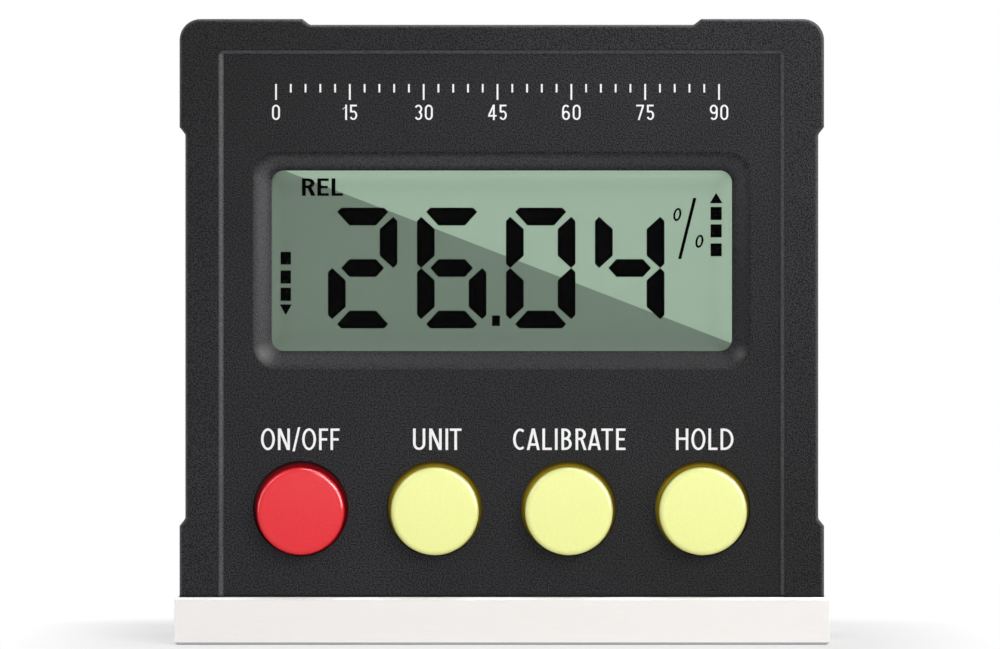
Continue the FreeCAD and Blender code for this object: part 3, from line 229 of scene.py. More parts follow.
def met_by(tree, *rays):
    """1 where a ray of one of the named kinds meets the surface, else 0."""
    path = tree.nodes.new("ShaderNodeLightPath")
    return most(tree, [path.outputs[f"Is {ray} Ray"] for ray in rays])


def axes(tree):
    """The object's own X, Y and Z of each point, in metres."""
    place = tree.nodes.new("ShaderNodeTexCoord")
    split = tree.nodes.new("ShaderNodeSeparateXYZ")
    tree.links.new(place.outputs["Object"], split.inputs["Vector"])
    return split.outputs


def between(tree, place, start, end):
    """1 about halfway between two places, falling to 0 at both."""
    half = (end - start) / 2
    away = sums(tree, "ABSOLUTE", minus(tree, place, start + half))
    faded, full = 0.95 * half, 0.3 * half
    return span(tree, away, 0.0, 1.0, faded, full)


def length_of(tree, first, second):
    """The length of a vector from its two parts."""
    squares = sums(tree, "ADD", times(tree, first, first), times(tree, second, second))
    return sums(tree, "SQRT", squares)


def bump(tree, height, depth):
    """Raises the surface by depth metres times height."""
    node = add_node(tree, "ShaderNodeBump", Strength=1.0, Distance=depth)
    tree.links.new(height, node.inputs["Height"])
    tree.links.new(node.outputs["Normal"], shader_of(tree).inputs["Normal"])


def colour_with(tree, socket):
    tree.links.new(socket, shader_of(tree).inputs["Base Color"])


def colour_of(tree):
    """The socket that colours the shader so far."""
    return shader_of(tree).inputs["Base Color"].links[0].from_socket


def roughen(tree, source, low, high):
    """Spreads the roughness from low to high as the source goes from 0 to 1."""
    tree.links.new(span(tree, source, low, high), shader_of(tree).inputs["Roughness"])


# --- materials

BLACK = (0.0, 0.0, 0.0)

# The width of the black plastic's fine grain, and the noise values where a grain is darkest and palest.
GRAIN = 0.14 * MM
GRAIN_EDGES = (0.395, 0.605)

# How many grains wide a faint cloud is.
CLOUD_GRAINS = 60


def grain_of(tree, size):
    """A crisp grain from 0 to 1."""
    return span(tree, noise(tree, size), 0.0, 1.0, *GRAIN_EDGES)


def make_moulded(name, dark, light, rough, grain, depth, specular):
    """A moulded plastic with a fine spark-eroded grain and faint clouds in its colour."""
    material, tree = new_material(name)
    set_shader(tree, Specular_IOR_Level=specular)
    fine = grain_of(tree, grain)
    clouds = span(tree, noise(tree, CLOUD_GRAINS * grain, 2.0), 0.8, 1.0, 0.3, 0.7)
    colour_with(tree, blend(tree, times(tree, fine, clouds), dark, light))
    roughen(tree, fine, *rough)
    bump(tree, fine, depth)
    return material


# Half the width of the dark line where the covers meet.
SEAM_HALF = 0.13 * MM


def make_black_plastic():
    """The covers' plastic, which takes no light in the seam where the two covers meet."""
    material = make_moulded("black_abs", (0.0004, 0.0005, 0.001), (0.0325, 0.0325, 0.036), (0.38, 0.55),
                            GRAIN, 0.017 * MM, 0.13)
    tree = material.node_tree
    seam = between(tree, axes(tree)[1], SEAM_Y - SEAM_HALF, SEAM_Y + SEAM_HALF)
    colour_with(tree, blend(tree, seam, colour_of(tree), BLACK))
    return material


# The front's painted shade goes with X times the height over its middle: it has these strengths at
# minus and at plus the reach, in square metres, and ends at a depth behind the panel.
FRONT_MIDDLE_Z = 30.0 * MM
TWIST_REACH = 0.0006
TWIST_PAINTED_SHADES = (0.42, -0.05)
TWIST_DEPTH = 2.0 * MM

# A painted highlight makes the window's slopes paler between these heights, which rise with X.
PALER_FROM = 27.0 * MM
PALER_TO = 46.5 * MM
PALER_LEAN = 0.35

# The pixel column and row, the reach and the strength of two painted highlights on corners of the
# window.
PAINTED_CORNER_HIGHLIGHTS = ((261.5, 355.5, 1.3 * MM, 0.3), (742.0, 355.0, 1.0 * MM, 0.2))
PAINTED_HIGHLIGHT_COLOUR = (0.3, 0.3, 0.3)

# The heights over the base up to which painted shade makes the front black, and from which it isn't.
FOOT_SEAM_SHADE = (0.12 * MM, 0.28 * MM)


def bezel_colour(tree, x, z, fine):
    """The colour of the slopes about the window, paler with painted highlight, and with painted
    highlights on two of its corners.
    """
    # Painted highlight: the slopes are paler, more so higher up and to the left.
    rise = span(tree, minus(tree, z, times(tree, x, PALER_LEAN)), 0.0, 1.0, PALER_FROM, PALER_TO)
    low = blend(tree, rise, (0.009, 0.009, 0.010), (0.027, 0.027, 0.029))
    high = blend(tree, rise, (0.027, 0.027, 0.030), (0.063, 0.063, 0.067))
    colour = blend(tree, fine, low, high)
    # Painted highlights on two corners of the window.
    for column, row, reach, strength in PAINTED_CORNER_HIGHLIGHTS:
        away = length_of(tree, minus(tree, x, across(column)), minus(tree, z, level(row)))
        colour = blend(tree, span(tree, away, strength, 0.0, 0.0, reach), colour, PAINTED_HIGHLIGHT_COLOUR)
    return colour


def make_front_plastic():
    """The front cover's plastic: painted shade makes it darker to the upper left and lower right, and
    black over the base.

    A painted highlight makes it paler where it slopes down to the panel and to the window.
    """
    material = make_black_plastic()
    tree = material.node_tree
    x, y, z = axes(tree)
    # Painted shade, darker to the upper left and the lower right, near the front.
    twist = times(tree, x, minus(tree, z, FRONT_MIDDLE_Z))
    shade = span(tree, twist, *TWIST_PAINTED_SHADES, -TWIST_REACH, TWIST_REACH)
    near_front = span(tree, y, 1.0, 0.0, PANEL_Y, PANEL_Y + TWIST_DEPTH)
    colour = blend(tree, times(tree, shade, near_front), colour_of(tree), BLACK)
    fine = grain_of(tree, GRAIN)
    # Painted highlight on the rim's slope down to the panel and on its outer edges.
    rim = blend(tree, fine, (0.043, 0.043, 0.046), (0.087, 0.087, 0.09))
    colour = blend(tree, between(tree, y, RIM_Y, PANEL_Y), colour, rim)
    bezel = bezel_colour(tree, x, z, fine)
    colour = blend(tree, between(tree, y, PANEL_Y, WINDOW_FRONT_Y), colour, bezel)
    # Painted shade: the front is black just over the base.
    seam = span(tree, z, 1.0, 0.0, *(BASE_TOP_Z + rise for rise in FOOT_SEAM_SHADE))
    colour_with(tree, blend(tree, seam, colour, BLACK))
    return material


def make_switch_plastic():
    return make_moulded("switch_nylon", (0.012, 0.012, 0.012), (0.04, 0.04, 0.04), (0.4, 0.6),
                        0.2 * MM, 0.008 * MM, 0.4)


def make_chip_plastic():
    return make_moulded("chip_resin", (0.015, 0.015, 0.016), (0.035, 0.035, 0.036), (0.5, 0.7),
                        0.12 * MM, 0.006 * MM, 0.4)


def make_white_plastic():
    return make_moulded("white_abs", (0.7, 0.7, 0.68), (0.82, 0.82, 0.8), (0.35, 0.5),
                        0.25 * MM, 0.006 * MM, 0.5)


# A key's flange takes its painted shade from a little in front of the panel to well behind it.
FLANGE_SHADE_FROM_Y = PANEL_Y - 0.2 * MM
FLANGE_SHADE_TO_Y = PANEL_Y + 1.0 * MM


def make_key_plastic(name, dark, light, flange_shade_near, flange_shade_far):
    """A key's plastic: bright on the cap; on the flange that shows round it, painted shade makes it
    deeper and it is duller.
    """
    shine = 0.5
    material = make_moulded(name, dark, light, (0.15, 0.25), 0.3 * MM, 0.0004 * MM, shine)
    tree = material.node_tree
    x, y, z = axes(tree)
    wrapped = sums(tree, "MODULO", sums(tree, "ABSOLUTE", x), KEY_PITCH)
    radius = length_of(tree, minus(tree, wrapped, KEY_PITCH / 2), minus(tree, z, KEY_LEVEL))
    outwards = span(tree, radius, 0.0, 1.0, CAP_RADIUS, KEY_HOLE_RADIUS)
    # Painted shade on the flange in the hole round the cap, deepest towards the hole's edge.
    flange_shade = span(tree, y, 0.0, 1.0, FLANGE_SHADE_FROM_Y, FLANGE_SHADE_TO_Y)
    colour_with(tree, blend(tree, flange_shade, colour_of(tree), blend(tree, outwards, flange_shade_near, flange_shade_far)))
    tree.links.new(span(tree, flange_shade, shine, 0.0), shader_of(tree).inputs["Specular IOR Level"])
    return material


def make_red_plastic():
    return make_key_plastic("red_key", (0.765, 0.009, 0.019), (0.785, 0.013, 0.024),
                            (0.73, 0.006, 0.018), (0.085, 0.03, 0.035))


def make_yellow_plastic():
    return make_key_plastic("yellow_key", (0.878, 0.907, 0.338), (0.898, 0.927, 0.356),
                            (0.9, 0.62, 0.01), (0.18, 0.14, 0.04))


def make_metal(name, dark, light, rough, size, depth, stretch=(1.0, 1.0, 1.0)):
    """A metal with fine clouds, or with lines where they are drawn out along an axis."""
    material, tree = new_material(name)
    set_shader(tree, Metallic=0.9)
    lines = noise(tree, size, 4.0, stretch)
    colour_with(tree, blend(tree, lines, dark, light))
    roughen(tree, lines, *rough)
    bump(tree, lines, depth)
    return material


# Where a band of painted shade lies below the base's upper edge, and where the painted shadow line
# fades over its foot.
SHOULDER_SHADE = (0.4 * MM, 0.06 * MM)
FOOT_SHADOW_LINE = (0.15 * MM, 0.3 * MM)


def make_base_metal():
    """Satin aluminium, with a band of painted shade along its upper edge and a painted shadow along the
    edge that it stands on.
    """
    material = make_metal("satin_aluminium", (0.745, 0.722, 0.706), (0.785, 0.762, 0.745), (0.4, 0.5),
                          0.12 * MM, 0.002 * MM, (0.06, 1.0, 1.0))
    tree = material.node_tree
    set_shader(tree, Metallic=0.3)
    z = axes(tree)[2]
    # Painted shade dims the upper edge's chamfer.
    shoulder = between(tree, z, *(BASE_TOP_Z - drop for drop in SHOULDER_SHADE))
    satin = blend(tree, shoulder, colour_of(tree), (0.69, 0.68, 0.67))
    # Painted shadow along the edge the base stands on.
    foot = span(tree, z, 1.0, 0.0, *FOOT_SHADOW_LINE)
    colour_with(tree, blend(tree, foot, satin, (0.45, 0.45, 0.46)))
    return material


def make_magnet_nickel():
    return make_metal("magnet_plating", (0.6, 0.58, 0.54), (0.74, 0.72, 0.68), (0.12, 0.24),
                      0.4 * MM, 0.002 * MM)


def make_screw_steel():
    return make_metal("zinc_steel", (0.35, 0.35, 0.36), (0.5, 0.5, 0.5), (0.25, 0.42),
                      0.2 * MM, 0.004 * MM)


def make_nickel_steel():
    return make_metal("contact_nickel", (0.55, 0.54, 0.5), (0.7, 0.69, 0.65), (0.15, 0.32),
                      0.15 * MM, 0.003 * MM, (1.0, 1.0, 0.08))


ACRYLIC_IOR = 1.49


def make_lens_plastic():
    """Clear acrylic: it hardly tints straight on and mirrors more at a slant."""
    material, tree = new_material("clear_acrylic")
    set_shader(tree, Base_Color=(0.02, 0.024, 0.022, 1.0), IOR=ACRYLIC_IOR)
    edge = add_node(tree, "ShaderNodeFresnel", IOR=ACRYLIC_IOR)
    cover = span(tree, edge.outputs["Fac"], 0.02, 0.5, 0.04, 1.0)
    tree.links.new(cover, shader_of(tree).inputs["Alpha"])
    roughen(tree, noise(tree, 3.0 * MM), 0.02, 0.06)
    return material


def make_gasket_foam():
    """Black foam with open pores."""
    material, tree = new_material("foam")
    pores = cells(tree, 0.18 * MM)
    colour_with(tree, blend(tree, pores, (0.012, 0.012, 0.012), (0.04, 0.04, 0.04)))
    roughen(tree, pores, 0.8, 1.0)
    bump(tree, pores, 0.05 * MM)
    return material


# The pixels of both ends of the line between the display's deeper green and its paler green with a
# painted reflection, and half the line's width.
GLARE_LINE_START = (283, 170)
GLARE_LINE_END = (731, 343)
GLARE_LINE_HALF = 0.04 * MM

# For the display's left and right edges, and for its lower and upper ones: the pixel, the strength of
# the painted glow, though the display is no lamp, and its reach, which is below 0 towards the left or
# down.
SIDE_PAINTED_GLOWS = ((271, 0.37, 1.6 * MM), (732, 0.65, -2.2 * MM))
LEVEL_PAINTED_GLOWS = ((350.7, 0.3, 1.6 * MM), (171.5, 0.6, -2.0 * MM))


def edge_glow(tree, place, edge, strength, reach):
    """The share of painted glow that falls off from an edge, fast at first."""
    near = span(tree, place, 1.0, 0.0, edge, edge + reach)
    return times(tree, near, times(tree, near, strength))


def make_lcd_glass():
    """The display's face: a deeper green and a paler one that holds a painted reflection, parted by a
    straight slanting line.

    A painted glow, though the display is no lamp, makes up for the shade of the window's frame along
    each edge.
    """
    material, tree = new_material("lcd_face")
    set_shader(tree, Specular_IOR_Level=0.05, Emission_Strength=0.75)
    start = Vector((column_of(GLARE_LINE_START[0]), row_of(GLARE_LINE_START[1])))
    end = Vector((column_of(GLARE_LINE_END[0]), row_of(GLARE_LINE_END[1])))
    run = (end - start).normalized()
    x, _, z = axes(tree)
    along = times(tree, minus(tree, x, start.x), -run.y)
    above = times(tree, minus(tree, z, start.y), run.x)
    side = span(tree, sums(tree, "ADD", along, above), 0.0, 1.0, -GLARE_LINE_HALF, GLARE_LINE_HALF)
    soft = noise(tree, 9.0 * MM, 2.0)
    deep = blend(tree, soft, (0.206, 0.276, 0.214), (0.212, 0.284, 0.220))
    # The paler green holds a painted reflection.
    pale = blend(tree, soft, (0.432, 0.592, 0.452), (0.442, 0.603, 0.462))
    green = blend(tree, side, deep, pale)
    colour_with(tree, green)
    # Painted glow along the edges, though the display is no lamp.
    painted_glows = [edge_glow(tree, x, column_of(pixel), *rest) for pixel, *rest in SIDE_PAINTED_GLOWS]
    painted_glows += [edge_glow(tree, z, row_of(pixel), *rest) for pixel, *rest in LEVEL_PAINTED_GLOWS]
    painted_glow_colour = blend(tree, most(tree, painted_glows), BLACK, green)
    tree.links.new(painted_glow_colour, shader_of(tree).inputs["Emission Color"])
    fine = noise(tree, 0.08 * MM)
    roughen(tree, fine, 0.45, 0.6)
    bump(tree, fine, 0.001 * MM)
    return material


def make_reflector_film():
    return make_moulded("film", (0.52, 0.57, 0.5), (0.62, 0.68, 0.6), (0.4, 0.6),
                        0.3 * MM, 0.004 * MM, 0.4)


def make_zebra_rubber():
    """Contact rubber, striped with thin carbon layers."""
    stripe = 1.2 * MM
    material, tree = new_material("contact_rubber")
    wave = add_node(tree, "ShaderNodeTexWave", Scale=1.0 / stripe, Distortion=0.0)
    wave.bands_direction = "X"
    tree.links.new(object_coordinates(tree), wave.inputs["Vector"])
    colour_with(tree, blend(tree, wave.outputs["Fac"], (0.05, 0.04, 0.04), (0.55, 0.3, 0.34)))
    roughen(tree, wave.outputs["Fac"], 0.6, 0.8)
    bump(tree, wave.outputs["Fac"], 0.01 * MM)
    return material


def make_board_laminate():
    """Green solder mask over faint copper tracks."""
    track = 3.0 * MM
    material, tree = new_material("solder_mask")
    set_shader(tree, Specular_IOR_Level=0.5)
    tracks = add_node(tree, "ShaderNodeTexBrick", Scale=1.0 / track, Mortar_Size=0.06,
                      Color1=(0.008, 0.085, 0.03, 1.0), Color2=(0.010, 0.1, 0.036, 1.0),
                      Mortar=(0.03, 0.2, 0.07, 1.0))
    turned = add_node(tree, "ShaderNodeMapping", Rotation=(math.pi / 2, 0.0, 0.0))
    tree.links.new(object_coordinates(tree), turned.inputs["Vector"])
    tree.links.new(turned.outputs["Vector"], tracks.inputs["Vector"])
    colour_with(tree, tracks.outputs["Color"])
    fine = noise(tree, 0.3 * MM)
    roughen(tree, fine, 0.25, 0.4)
    bump(tree, tracks.outputs["Fac"], 0.02 * MM)
    return material


def make_sleeve(name, body_colour, band_colour, band_size):
    """A printed shrink sleeve with soft creases and plain bands across the can."""
    material, tree = new_material(name)
    set_shader(tree, Metallic=0.3)
    band_start = 0.7 * band_size
    edge = 0.05 * MM
    bands = sums(tree, "PINGPONG", axes(tree)[0], band_size)
    side = span(tree, bands, 0.0, 1.0, band_start - edge, band_start + edge)
    colour_with(tree, blend(tree, side, body_colour, band_colour))
    creases = noise(tree, 1.6 * MM, 2.0, (0.3, 1.0, 1.0))
    roughen(tree, creases, 0.25, 0.4)
    bump(tree, creases, 0.02 * MM)
    return material


def make_cell_sleeve():
    return make_sleeve("cell_print", (0.03, 0.07, 0.13), (0.45, 0.46, 0.48), 24.6 * MM)


def make_capacitor_sleeve():
    return make_sleeve("capacitor_print", (0.02, 0.02, 0.045), (0.4, 0.4, 0.42), 12.6 * MM)


def make_print(name, colour, specular):
    """Printed ink, slightly uneven."""
    material, tree = new_material(name)
    set_shader(tree, Specular_IOR_Level=specular)
    speckle = noise(tree, 0.1 * MM)
    darker = tuple(0.9 * part for part in colour)
    colour_with(tree, blend(tree, speckle, darker, colour))
    roughen(tree, speckle, 0.5, 0.7)
    bump(tree, speckle, 0.002 * MM)
    return material


SOFT_EDGES = {
    "front_cover": 0.14 * MM,
    "rear_cover": 0.14 * MM,
    "battery_door": 0.12 * MM,
    "base_plate": 0.06 * MM,
}
SOFT_EDGE_ANGLE = 24
SOFT_EDGE_SEGMENTS = 3
WELD_REACH = 0.001 * MM
CREASE_ANGLE = 50


def soften(node, width):
    """Rounds a node's sharp edges a little, and shades its curves smoothly."""
    thing = frame["nodes"][node]
    custom = thing.data.attributes.get("custom_normal")
    if custom:
        thing.data.attributes.remove(custom)
    thing.data.shade_smooth()
    weld = thing.modifiers.new("weld", "WELD")
    weld.merge_threshold = WELD_REACH
    bevel = thing.modifiers.new("soft_edges", "BEVEL")
    bevel.width = width
    bevel.segments = SOFT_EDGE_SEGMENTS
    bevel.limit_method = "ANGLE"
    bevel.angle_limit = math.radians(SOFT_EDGE_ANGLE)
    bevel.harden_normals = True
    split = thing.modifiers.new("creases", "EDGE_SPLIT")
    split.split_angle = math.radians(CREASE_ANGLE)
    thing.modifiers.new("even_shading", "WEIGHTED_NORMAL")


def dress_cad_nodes():
    """Gives every node of the model the finish that its material slot names."""
    makers = {
        "black_plastic": make_black_plastic,
        "base_metal": make_base_metal,
        "lens_plastic": make_lens_plastic,
        "gasket_foam": make_gasket_foam,
        "lcd_glass": make_lcd_glass,
        "reflector_film": make_reflector_film,
        "white_plastic": make_white_plastic,
        "zebra_rubber": make_zebra_rubber,
        "board_laminate": make_board_laminate,
        "chip_plastic": make_chip_plastic,
        "nickel_steel": make_nickel_steel,
        "screw_steel": make_screw_steel,
        "magnet_nickel": make_magnet_nickel,
        "switch_plastic": make_switch_plastic,
        "red_plastic": make_red_plastic,
        "yellow_plastic": make_yellow_plastic,
        "cell_sleeve": make_cell_sleeve,
        "capacitor_sleeve": make_capacitor_sleeve,
    }
    finishes = {slot: maker() for slot, maker in makers.items()}
    for part in frame["record"]["subparts"]:
        mesh = frame["nodes"][part["node"]].data
        mesh.materials.clear()
        mesh.materials.append(finishes[part["material_slot"]])
    frame["nodes"]["front_cover"].data.materials[0] = make_front_plastic()
    for node, width in SOFT_EDGES.items():
        soften(node, width)
    return finishes


# --- flat pieces

def add_object(name, build, material):
    """A mesh object whose faces the given function adds to an empty bmesh."""
    mesh = bpy.data.meshes.new(name)
    shape = bmesh.new()
    build(shape)
    bmesh.ops.recalc_face_normals(shape, faces=shape.faces)
    shape.to_mesh(mesh)
    shape.free()
    mesh.materials.append(material)
    thing = bpy.data.objects.new(name, mesh)
    bpy.context.scene.collection.objects.link(thing)
    return thing


INK = 0.012 * MM
INK_STEP = 0.002 * MM
INK_STEPS = 8


def add_plates(name, outlines, back_y, thickness, material, body):
    """Thin upright plates with the given outlines of (x, z), standing forward from back_y.

    From plate to plate the thickness goes up a few steps of a hair and starts again, so that
    none shares a face with its neighbour.
    """
    def build(shape):
        for number, outline in enumerate(outlines):
            front_y = back_y - thickness - number % INK_STEPS * INK_STEP
            back = [shape.verts.new((x, back_y, z)) for x, z in outline]
            front = [shape.verts.new((x, front_y, z)) for x, z in outline]
            shape.faces.new(front)
            shape.faces.new(back[::-1])
            for index in range(len(outline)):
                after = (index + 1) % len(outline)
                shape.faces.new((back[index], back[after], front[after], front[index]))

    piece = add_object(name, build, material)
    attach(piece, body)


def box_outline(left, low, right, high):
    return [(left, low), (right, low), (right, high), (left, high)]


# --- lettering
# Each letter is a list of outlines, drawn in a box one unit high.

# The widths of upright and level strokes, the height of a round end, and how much shorter than
# its letter a middle stroke is.
STROKE = 0.12
THIN = 0.11
ROUND = 0.3
SHORTER = 0.04
BOW_STEPS = 12


def upright(left, low=0.0, high=1.0):
    """An upright stroke."""
    return box_outline(left, low, left + STROKE, high)


def uprights(width, low=0.0, high=1.0):
    """The upright strokes at both sides of a letter."""
    return [upright(0.0, low, high), upright(width - STROKE, low, high)]


def bar(left, right, low):
    """A level stroke."""
    return box_outline(left, low, right, low + THIN)


def bow(centre, radii, start, end, widths=(STROKE, THIN), lean=0.0):
    """Part of an oval ring, from one angle in degrees to another. It may lean to the right."""
    outer = []
    inner = []
    for step in range(BOW_STEPS + 1):
        angle = math.radians(start + (end - start) * step / BOW_STEPS)
        for line, trim_x, trim_z in ((outer, 0.0, 0.0), (inner, *widths)):
            side = (radii[0] - trim_x) * math.cos(angle)
            rise = (radii[1] - trim_z) * math.sin(angle)
            line.append((centre[0] + side + lean * rise, centre[1] + rise))
    return outer + inner[::-1]


def ring(width, low=0.0, high=1.0):
    """A tall closed ring with straight sides."""
    half = width / 2
    rise = min(ROUND, (high - low) / 2)
    parts = [
        bow((half, high - rise), (half, rise), 0, 180),
        bow((half, low + rise), (half, rise), 180, 360),
    ]
    if high - low > 2 * rise:
        parts += uprights(width, low + rise, high - rise)
    return parts


def slant(foot, head, low=0.0, high=1.0, width=STROKE):
    """A leaning stroke cut level at both ends. foot and head are its left edges."""
    return [(foot, low), (foot + width, low), (head + width, high), (head, high)]


def bowl(width, low, high):
    """The half ring and its two short bars that close a letter to the right."""
    rise = (high - low) / 2
    centre = (width - rise, low + rise)
    return [
        bow(centre, (rise, rise), -90, 90),
        bar(STROKE, centre[0], low),
        bar(STROKE, centre[0], high - THIN),
    ]


def letter_a(width):
    half = width / 2
    lean = half - STROKE * 0.55
    meet = (half - STROKE) / lean
    left = [(0.0, 0.0), (STROKE, 0.0), (half, meet), (half, 1.0), (lean, 1.0)]
    right = [(width - x, z) for x, z in left]
    low = 0.2
    high = low + THIN
    inner_low = STROKE + lean * low
    inner_high = STROKE + lean * high
    cross = [(inner_low, low), (width - inner_low, low), (width - inner_high, high), (inner_high, high)]
    return [left, right, cross]


def letter_b(width):
    middle = 0.53
    lower = bowl(width, 0.0, middle + THIN / 2)
    upper = bowl(width - SHORTER, middle - THIN / 2, 1.0)
    return [upright(0.0), *lower, *upper]


def letter_c(width):
    """An open round that ends short of its full width."""
    half, opening = 0.32, 55
    return [bow((half, 0.5), (half, 0.5), opening, 360 - opening)]


def letter_d(width):
    bend = 0.42
    straight = width - bend
    round_end = bow((straight, 0.5), (bend, 0.5), -90, 90)
    return [upright(0.0), bar(STROKE, straight, 1 - THIN), bar(STROKE, straight, 0.0), round_end]


def letter_e(width):
    middle = bar(STROKE, width - SHORTER, (1 - THIN) / 2)
    return [upright(0.0), bar(STROKE, width, 0.0), middle, bar(STROKE, width, 1 - THIN)]


def letter_f(width):
    middle = 0.44
    return [upright(0.0), bar(STROKE, width - SHORTER, middle), bar(STROKE, width, 1 - THIN)]


def letter_h(width):
    middle = 0.47
    return [*uprights(width), bar(STROKE, width - STROKE, middle)]


def letter_i(width):
    return [box_outline(0.0, 0.0, width, 1.0)]


def letter_l(width):
    return [upright(0.0), bar(STROKE, width, 0.0)]


def letter_n(width):
    wide = STROKE * 1.15
    return [*uprights(width), slant(width - wide, 0.0, width=wide)]


def letter_o(width):
    half, tall = width / 2, 0.51
    return [bow((half, 0.5), (half, tall), start, start + 180) for start in (0, 180)]


def letter_r(width):
    wide = STROKE * 1.05
    inset, waist = 0.03, 0.46
    leg_left, leg_top = width * 0.42, 0.5
    leg = slant(width - wide, leg_left, 0.0, leg_top, wide)
    return [upright(0.0), *bowl(width - inset, waist, 1.0), leg]


def letter_t(width):
    left = (width - STROKE) / 2
    return [bar(0.0, width, 1 - THIN), upright(left, 0.0, 1 - THIN)]


def letter_u(width):
    half = width / 2
    return [*uprights(width, ROUND), bow((half, ROUND), (half, ROUND), 180, 360)]


def letter_slash(width):
    beyond = 0.06
    return [slant(0.0, width - THIN, -beyond, 1 + beyond, THIN)]


def number_1(width):
    low, high, thin = 0.7, 0.86, 0.05
    right = width - STROKE
    return [upright(right), slant(0.0, right, low, high, thin)]


def number_3(width):
    half = width / 2
    high, low = 0.27, 0.29
    inwards, outwards = 80, 155
    return [
        bow((half, 1 - high), (half, high), -inwards, outwards),
        bow((half, low), (half, low), -outwards, inwards),
    ]


def number_4(width):
    cross, overhang = 0.22, 0.12
    left = width - overhang - STROKE
    return [upright(left), bar(0.0, width, cross), slant(0.0, left, cross + THIN)]


def number_5(width):
    half = width / 2
    inset, waist, lower = 0.03, 0.5, 0.31
    return [
        bar(inset, width - inset, 1 - THIN),
        upright(inset, waist, 1 - THIN),
        bow((half, lower), (half, lower), -155, 130),
    ]


def number_6(width):
    half = width / 2
    lower, upper = 0.6, 0.34
    return [
        *ring(width, 0.0, lower),
        bow((half, 1 - upper), (half, upper), 40, 180),
        upright(0.0, ROUND, 1 - upper),
    ]


def number_7(width):
    foot = 0.1
    return [bar(0.0, width, 1 - THIN), slant(foot, width - STROKE, 0.0, 1 - THIN)]


def number_9(width):
    """A 6 turned upside down."""
    return [[(width - x, 1 - z) for x, z in outline] for outline in number_6(width)]


# The free space that a letter keeps on a side, by the shape of the side.
UPRIGHT = 0.085
CURVED = 0.055
OPEN = 0.03
TIGHT = -0.01

# Each letter's outlines, width, and free space to its left and right.
LETTERS = {
    "A": (letter_a, 0.58, OPEN, OPEN),
    "B": (letter_b, 0.46, UPRIGHT, UPRIGHT),
    "C": (letter_c, 0.53, CURVED, CURVED),
    "D": (letter_d, 0.60, UPRIGHT, CURVED),
    "E": (letter_e, 0.42, UPRIGHT, CURVED),
    "F": (letter_f, 0.42, UPRIGHT, OPEN),
    "H": (letter_h, 0.57, UPRIGHT, UPRIGHT),
    "I": (letter_i, STROKE, UPRIGHT, UPRIGHT),
    "L": (letter_l, 0.42, UPRIGHT, CURVED),
    "N": (letter_n, 0.56, UPRIGHT, UPRIGHT),
    "O": (letter_o, 0.65, CURVED, CURVED),
    "R": (letter_r, 0.49, UPRIGHT, OPEN),
    "T": (letter_t, 0.52, TIGHT, CURVED),
    "U": (letter_u, 0.55, UPRIGHT, UPRIGHT),
    "/": (letter_slash, 0.37, OPEN, OPEN),
    "0": (ring, 0.52, UPRIGHT, UPRIGHT),
    "1": (number_1, 0.30, UPRIGHT, UPRIGHT),
    "3": (number_3, 0.50, UPRIGHT, UPRIGHT),
    "4": (number_4, 0.55, UPRIGHT, UPRIGHT),
    "5": (number_5, 0.50, UPRIGHT, UPRIGHT),
    "6": (number_6, 0.52, UPRIGHT, UPRIGHT),
    "7": (number_7, 0.50, UPRIGHT, UPRIGHT),
    "9": (number_9, 0.52, UPRIGHT, UPRIGHT),
}


def letter_starts(word):
    """Where each letter of a word begins, and where the last one ends."""
    starts = []
    end = 0.0
    space = 0.0
    for letter in word:
        _, width, before, after = LETTERS[letter]
        start = end + space + before if starts else 0.0
        starts.append(start)
        end = start + width
        space = after
    return starts, end


def word_outlines(word, left, low, height, width=None):
    """The outlines of a word in metres. Given a width, the word is drawn out to fill it."""
    starts, end = letter_starts(word)
    unit_width = width / end if width else height
    outlines = []
    for letter, start in zip(word, starts):
        draw, letter_width = LETTERS[letter][:2]
        for outline in draw(letter_width):
            outlines.append([(left + (start + x) * unit_width, low + z * height) for x, z in outline])
    return outlines


# --- printed marks

LEGEND_TOP = level(428.5)
LEGEND_FOOT = level(450)

# Each key's name, and the pixel columns where it starts and ends.
LEGENDS = {
    "ON/OFF": (261, 339.5),
    "UNIT": (413, 461.5),
    "CALIBRATE": (513, 625.5),
    "HOLD": (676, 733.5),
}

SCALE_LEFT = across(276)
SCALE_RIGHT = across(719)
SCALE_TOP = level(84)
SCALE_FOOT = level(120)
SCALE_END = 90
SCALE_STEP = 3
SCALE_NUMBER_STEP = 15
SCALE_NUMBER_HEIGHT = 1.45 * MM
TICK_WIDTH = 0.17 * MM
TICK = 0.8 * MM
LONG_TICK = 1.5 * MM


def add_panel_print(name, outlines, ink):
    add_plates(name, outlines, PANEL_Y, INK, ink, "housing")


def make_legends(ink):
    """The name of each key, over it."""
    for word, (start, end) in LEGENDS.items():
        left = across(start)
        outlines = word_outlines(word, left, LEGEND_FOOT, LEGEND_TOP - LEGEND_FOOT, across(end) - left)
        add_panel_print(f"legend_{word.replace('/', '_').lower()}", outlines, ink)


def make_degree_scale(ink):
    """A plain scale of degrees across the head of the panel."""
    ticks = []
    numbers = []
    for degree in range(0, SCALE_END + 1, SCALE_STEP):
        x = SCALE_LEFT + (SCALE_RIGHT - SCALE_LEFT) * degree / SCALE_END
        numbered = degree % SCALE_NUMBER_STEP == 0
        foot = SCALE_TOP - (LONG_TICK if numbered else TICK)
        ticks.append(box_outline(x - TICK_WIDTH / 2, foot, x + TICK_WIDTH / 2, SCALE_TOP))
        if numbered:
            word = str(degree)
            width = letter_starts(word)[1] * SCALE_NUMBER_HEIGHT
            numbers.extend(word_outlines(word, x - width / 2, SCALE_FOOT, SCALE_NUMBER_HEIGHT))
    add_panel_print("scale_ticks", ticks, ink)
    add_panel_print("scale_numbers", numbers, ink)


